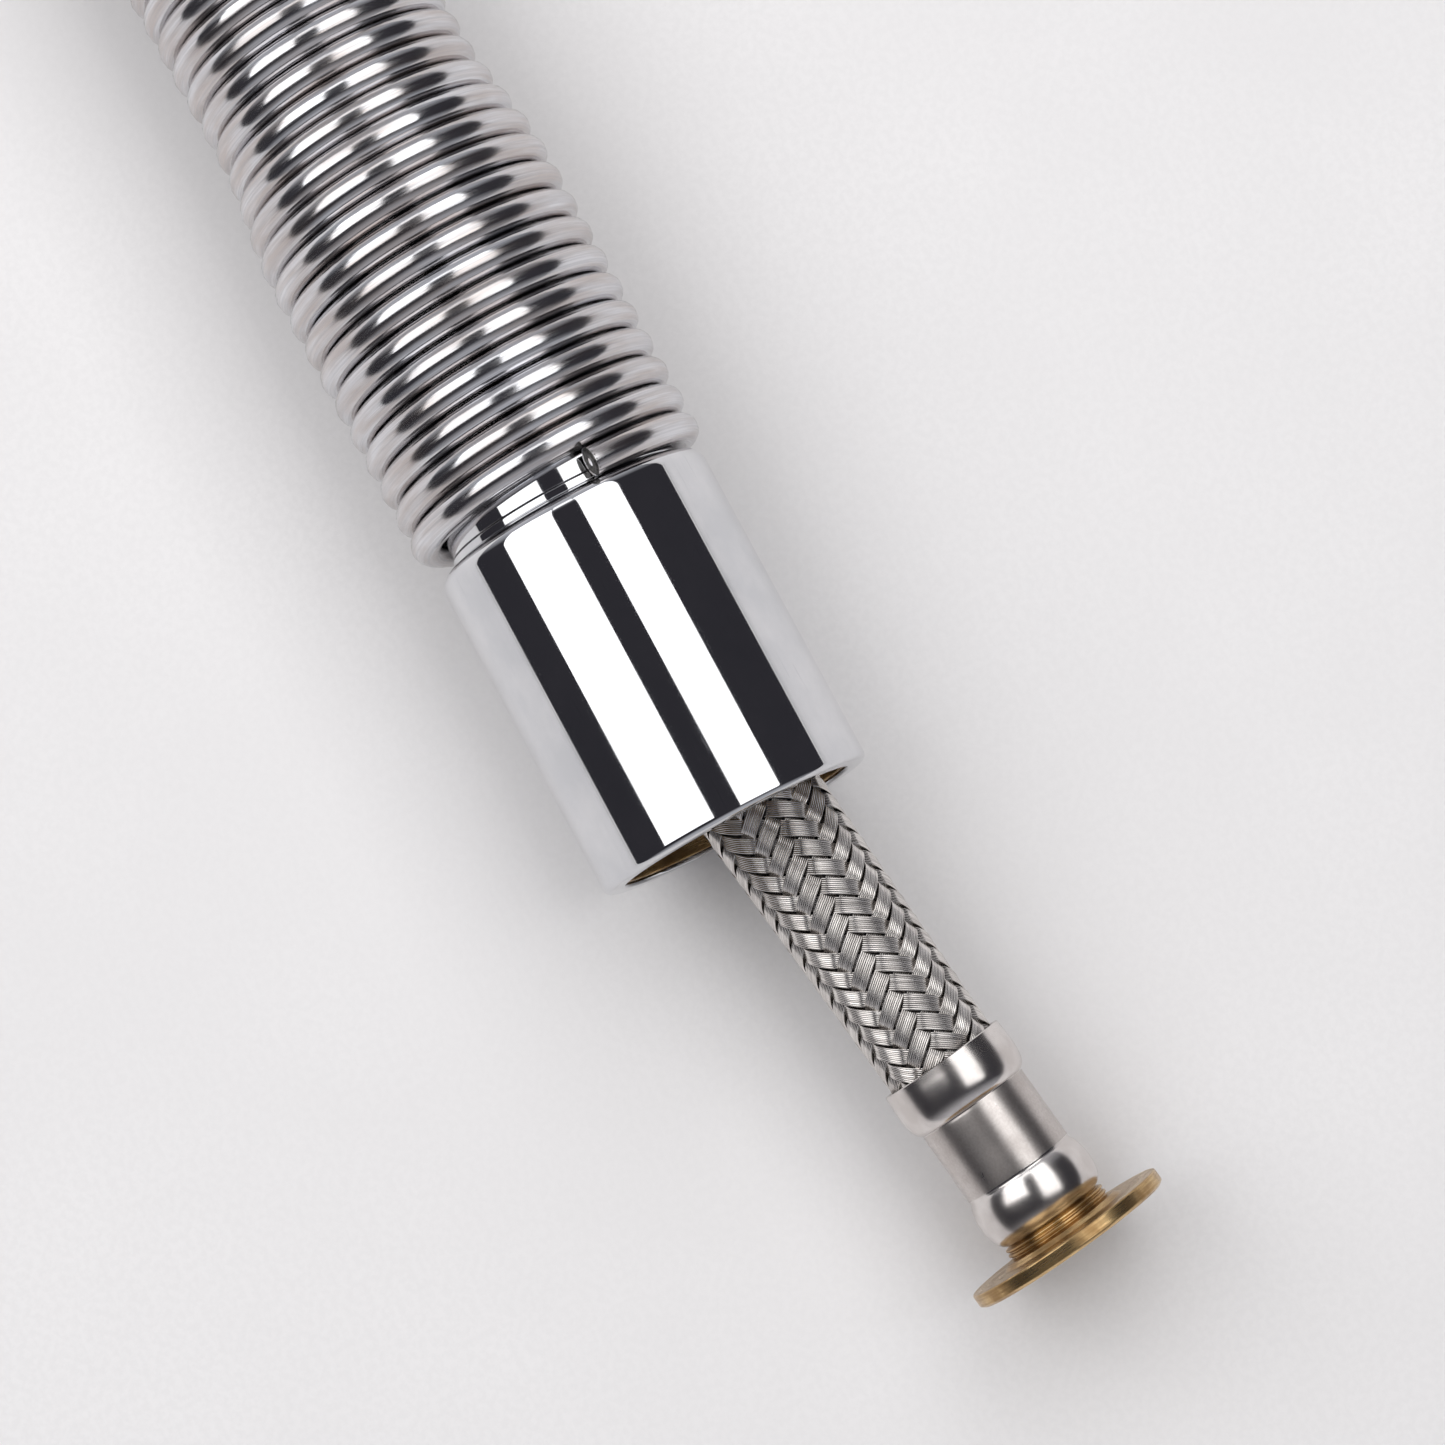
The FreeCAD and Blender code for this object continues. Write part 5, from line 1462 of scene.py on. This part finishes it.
def jetRimTree():
    # a pressed rim round every jet of the plate's three rings
    tree, known, identifiers = newTree("jetRims", jetSet, ("First Count", "Added Count"))
    rings = addNode(tree, "GeometryNodeJoinGeometry")
    for ring in range(3):
        sizes = {}
        for label, first, added in (
            ("Vertices", "First Count", "Added Count"),
            ("Radius", "First Ring", "Ring Step"),
        ):
            terms = {0: known[added], 1: ring, 2: known[first]}
            sizes[label] = addNode(tree, "ShaderNodeMath", terms, operation="MULTIPLY_ADD")
        circle = addNode(tree, "GeometryNodeMeshCircle", sizes)
        tree.links.new(circle.outputs[0], rings.inputs[0])
    circles = {}
    for label, points, radius in (("Curve", 14, "Rim Radius"), ("Profile Curve", 5, "Rim Wire")):
        sizes = {"Resolution": points, "Radius": known[radius]}
        circles[label] = addNode(tree, "GeometryNodeCurvePrimitiveCircle", sizes)
    rim = addNode(tree, "GeometryNodeCurveToMesh", circles)
    rims = addNode(tree, "GeometryNodeInstanceOnPoints", {"Points": rings, "Instance": rim})
    endTree(tree, rims, sheetSteel)
    return tree, identifiers


def sprayBell():
    v = bellSet
    corners = [
        (v["socket"], 0),
        (v["barrel"], 0, 0.5),
        (v["outer"], v["flare"], 3.0),
        (v["outer"], v["length"], 0.4),
        (v["recess"], v["length"], 0.3),
        (v["recess"], v["step"]),
        (v["cavity"], v["step"]),
        (v["cavity"], v["socketDepth"]),
        (v["socket"], v["socketDepth"]),
    ]
    bell = turned("sprayBell", outlineOf(corners), shifted(headLine, z=v["rear"]), 144)
    settle(bell, chrome, "handle", "chrome", "spray_bell")


def bumperRing():
    v = bumperSet
    outer, length = v["outer"], v["length"]
    ground = outer - v["grooveDepth"]
    corners = [(v["inner"], 0), (outer - 0.2, 0, 0.7), (outer, 1.2, 0.5)]
    for groove in range(v["grooves"]):
        height = 2.2 + groove * v["grooveStep"]
        corners += [
            (outer, height, 0.25), (ground, height + 0.45, 0.25), (ground, height + 0.75, 0.25),
            (outer, height + 1.2, 0.25),
        ]
    corners += [
        (outer, length, 1.7), (v["lipBore"], length, 0.9), (v["lipBore"], length - v["lip"]),
        (v["inner"], length - v["lip"]),
    ]
    bumper = turned("bumperRing", outlineOf(corners, 0.15), shifted(headLine, z=v["place"]), 128)
    settle(bumper, gripRubber, "handle", "grip", "bumper")


def faceDetails():
    # the rims of the jets, and the screw with its hexagon socket
    rims = grow("jetRims", jetRimTree(), jetSet, shifted(headLine, z=plateTop - rimDrop), 60)
    settle(rims, sheetSteel, "handle", "stainless")
    outline = [
        (0, -4.6), (1.95, -4.6), (1.95, 0), (3.6, 0), (3.6, 0.75), (3.5, 1.0), (2.75, 1.62), (2.45, 1.78),
        (1.9, 1.8), (1.5, 1.78, screwFlat), (1.5, 0.7, screwFlat), (0, 0.5),
    ]
    screw = turned("faceScrew", outline, shifted(headLine, z=plateTop), 96, 35)
    settle(screw, turnedSteel, "handle", "stainless", "face_screw")


sprayBell()
bumperRing()
faceDetails()
print("spray head made")


# Pieces whose CAD shape is right, with their finishes

keptNodes = {
    castChrome: ("handle_core",),
    darkSteel: ("snap_ring",),
    rawBrass: ("swivel_tail", "poppet_disc", "poppet_nut"),
    sealRubber: ("swivel_o_rings", "stem_o_ring", "neck_gasket", "seat_washer", "face_gasket"),
    sheetSteel: ("stem", "spray_face"),
    whiteAcetal: ("diffuser",),
}
for material, names in keptNodes.items():
    for name in names:
        node = frame["nodes"][name]
        node.data.materials.clear()
        node.data.materials.append(material)
print("CAD nodes finished")


# Table, light and room

# a painted board: pale and matt, hardly clouded
tableSet = {
    "colour": "#e6e4e4",
    "roughness": 0.75,
    "layers": [
        {"size": (70, 70, 70), "detail": 4.0, "tint": "#e2e0e0", "amount": 1.0},
        {"size": (0.8, 0.8, 0.8), "tint": "#dfdddd", "amount": 0.5, "depth": 0.01},
    ],
}
floorSet = {"radius": 14.0, "glowFrom": 0.45, "glowTo": 1.3}


def addFloor():
    shape = bmesh.new()
    bmesh.ops.create_circle(shape, cap_ends=True, segments=96, radius=floorSet["radius"])
    mesh = bpy.data.meshes.new("floor")
    shape.to_mesh(mesh)
    shape.free()
    floor = bpy.data.objects.new("floor", mesh)
    collection.objects.link(floor)
    material = layeredFinish("paleTable", tableSet, None, {"Specular IOR Level": 0.2})
    tree = material.node_tree
    shader = [node for node in tree.nodes if node.type == "BSDF_PRINCIPLED"][0]
    output = [node for node in tree.nodes if node.type == "OUTPUT_MATERIAL"][0]
    # far from the sprayer the table keeps its pale tone for the eye and in the reflections
    place = addNode(tree, "ShaderNodeTexCoord").outputs["Object"]
    distance = addNode(tree, "ShaderNodeVectorMath", {0: place}, operation="LENGTH").outputs["Value"]
    far = addNode(tree, "ShaderNodeMapRange", {
        "Value": distance, "From Min": floorSet["glowFrom"], "From Max": floorSet["glowTo"],
    }, interpolation_type="SMOOTHSTEP")
    ray = addNode(tree, "ShaderNodeLightPath").outputs
    seen = ray["Is Camera Ray"]
    for kind in ("Is Glossy Ray", "Is Transmission Ray"):
        seen = addNode(tree, "ShaderNodeMath", {0: seen, 1: ray[kind]}, operation="MAXIMUM")
    share = addNode(tree, "ShaderNodeMath", {0: far, 1: seen}, operation="MULTIPLY")
    colour = shader.inputs["Base Color"].links[0].from_socket
    glow = addNode(tree, "ShaderNodeEmission", {"Color": colour, "Strength": 1.0})
    both = addNode(tree, "ShaderNodeMixShader", {"Fac": share, 1: shader, 2: glow})
    tree.links.new(both.outputs[0], output.inputs[0])
    floor.data.materials.append(material)


# soft panels hang beside the camera; angles are degrees off the vertical and ends are metres along X
lightSet = {
    "target": (0.2, 0.003, 0.0145),
    "distance": 0.9,
    "panels": {
        "softboxLeft": {"angles": (-57.8, -12.2), "ends": (-0.8, 0.24), "radiance": 1.9, "inMetal": True},
        "softboxRight": {"angles": (9.9, 44.6), "ends": (-0.8, 0.5), "radiance": 1.9, "inMetal": True},
        "windowFar": {"angles": (-11.0, 9.0), "ends": (-0.95, -0.5), "radiance": 1.2, "inMetal": True},
        "fill": {"angles": (-42.0, 42.0), "ends": (-0.6, 1.0), "radiance": 0.7, "inMetal": False},
    },
}


def addSoftbox(name, values):
    # a soft panel that faces the sprayer
    distance = lightSet["distance"]
    first, last = [math.radians(angle) for angle in values["angles"]]
    middle, half = (first + last) / 2, (last - first) / 2
    width = 2 * distance * math.tan(half)
    length = values["ends"][1] - values["ends"][0]
    lamp = bpy.data.lights.new(name, "AREA")
    lamp.shape = "RECTANGLE"
    lamp.size = length
    lamp.size_y = width
    lamp.energy = values["radiance"] * math.pi * length * width
    panel = bpy.data.objects.new(name, lamp)
    panel.visible_glossy = values["inMetal"]
    back = Vector((0, math.sin(middle), math.cos(middle)))
    across = Vector((1, 0, 0))
    centre = Vector(lightSet["target"]) + back * distance
    centre.x = sum(values["ends"]) / 2
    panel.matrix_world = placeOf(centre, across, back.cross(across), back)
    collection.objects.link(panel)


roomSet = {"studio": "#343338", "wall": "#bcbdc2", "wallFrom": 0.42, "wallTo": 0.85}


def addRoom():
    world = bpy.data.worlds.new("room")
    bpy.context.scene.world = world
    world.use_nodes = True
    tree = world.node_tree
    tree.nodes.clear()
    # a dark studio above the table, with paler walls past both ends of the sprayer
    v = roomSet
    way = addNode(tree, "ShaderNodeTexCoord").outputs["Generated"]
    alongX = {0: way, 1: (1.0, 0.0, 0.0)}
    lengthways = addNode(tree, "ShaderNodeVectorMath", alongX, operation="DOT_PRODUCT").outputs["Value"]
    towards = addNode(tree, "ShaderNodeMath", {0: lengthways}, operation="ABSOLUTE")
    stretch = {"Value": towards, "From Min": v["wallFrom"], "From Max": v["wallTo"]}
    wall = addNode(tree, "ShaderNodeMapRange", stretch)
    tones = {0: wall, 6: linear(v["studio"]), 7: linear(v["wall"])}
    tone = addNode(tree, "ShaderNodeMix", tones, data_type="RGBA")
    background = addNode(tree, "ShaderNodeBackground", {"Color": tone.outputs[2]})
    addNode(tree, "ShaderNodeOutputWorld", {"Surface": background})


addFloor()
for name, values in lightSet["panels"].items():
    addSoftbox(name, values)
addRoom()
print("table, softboxes and room set up")
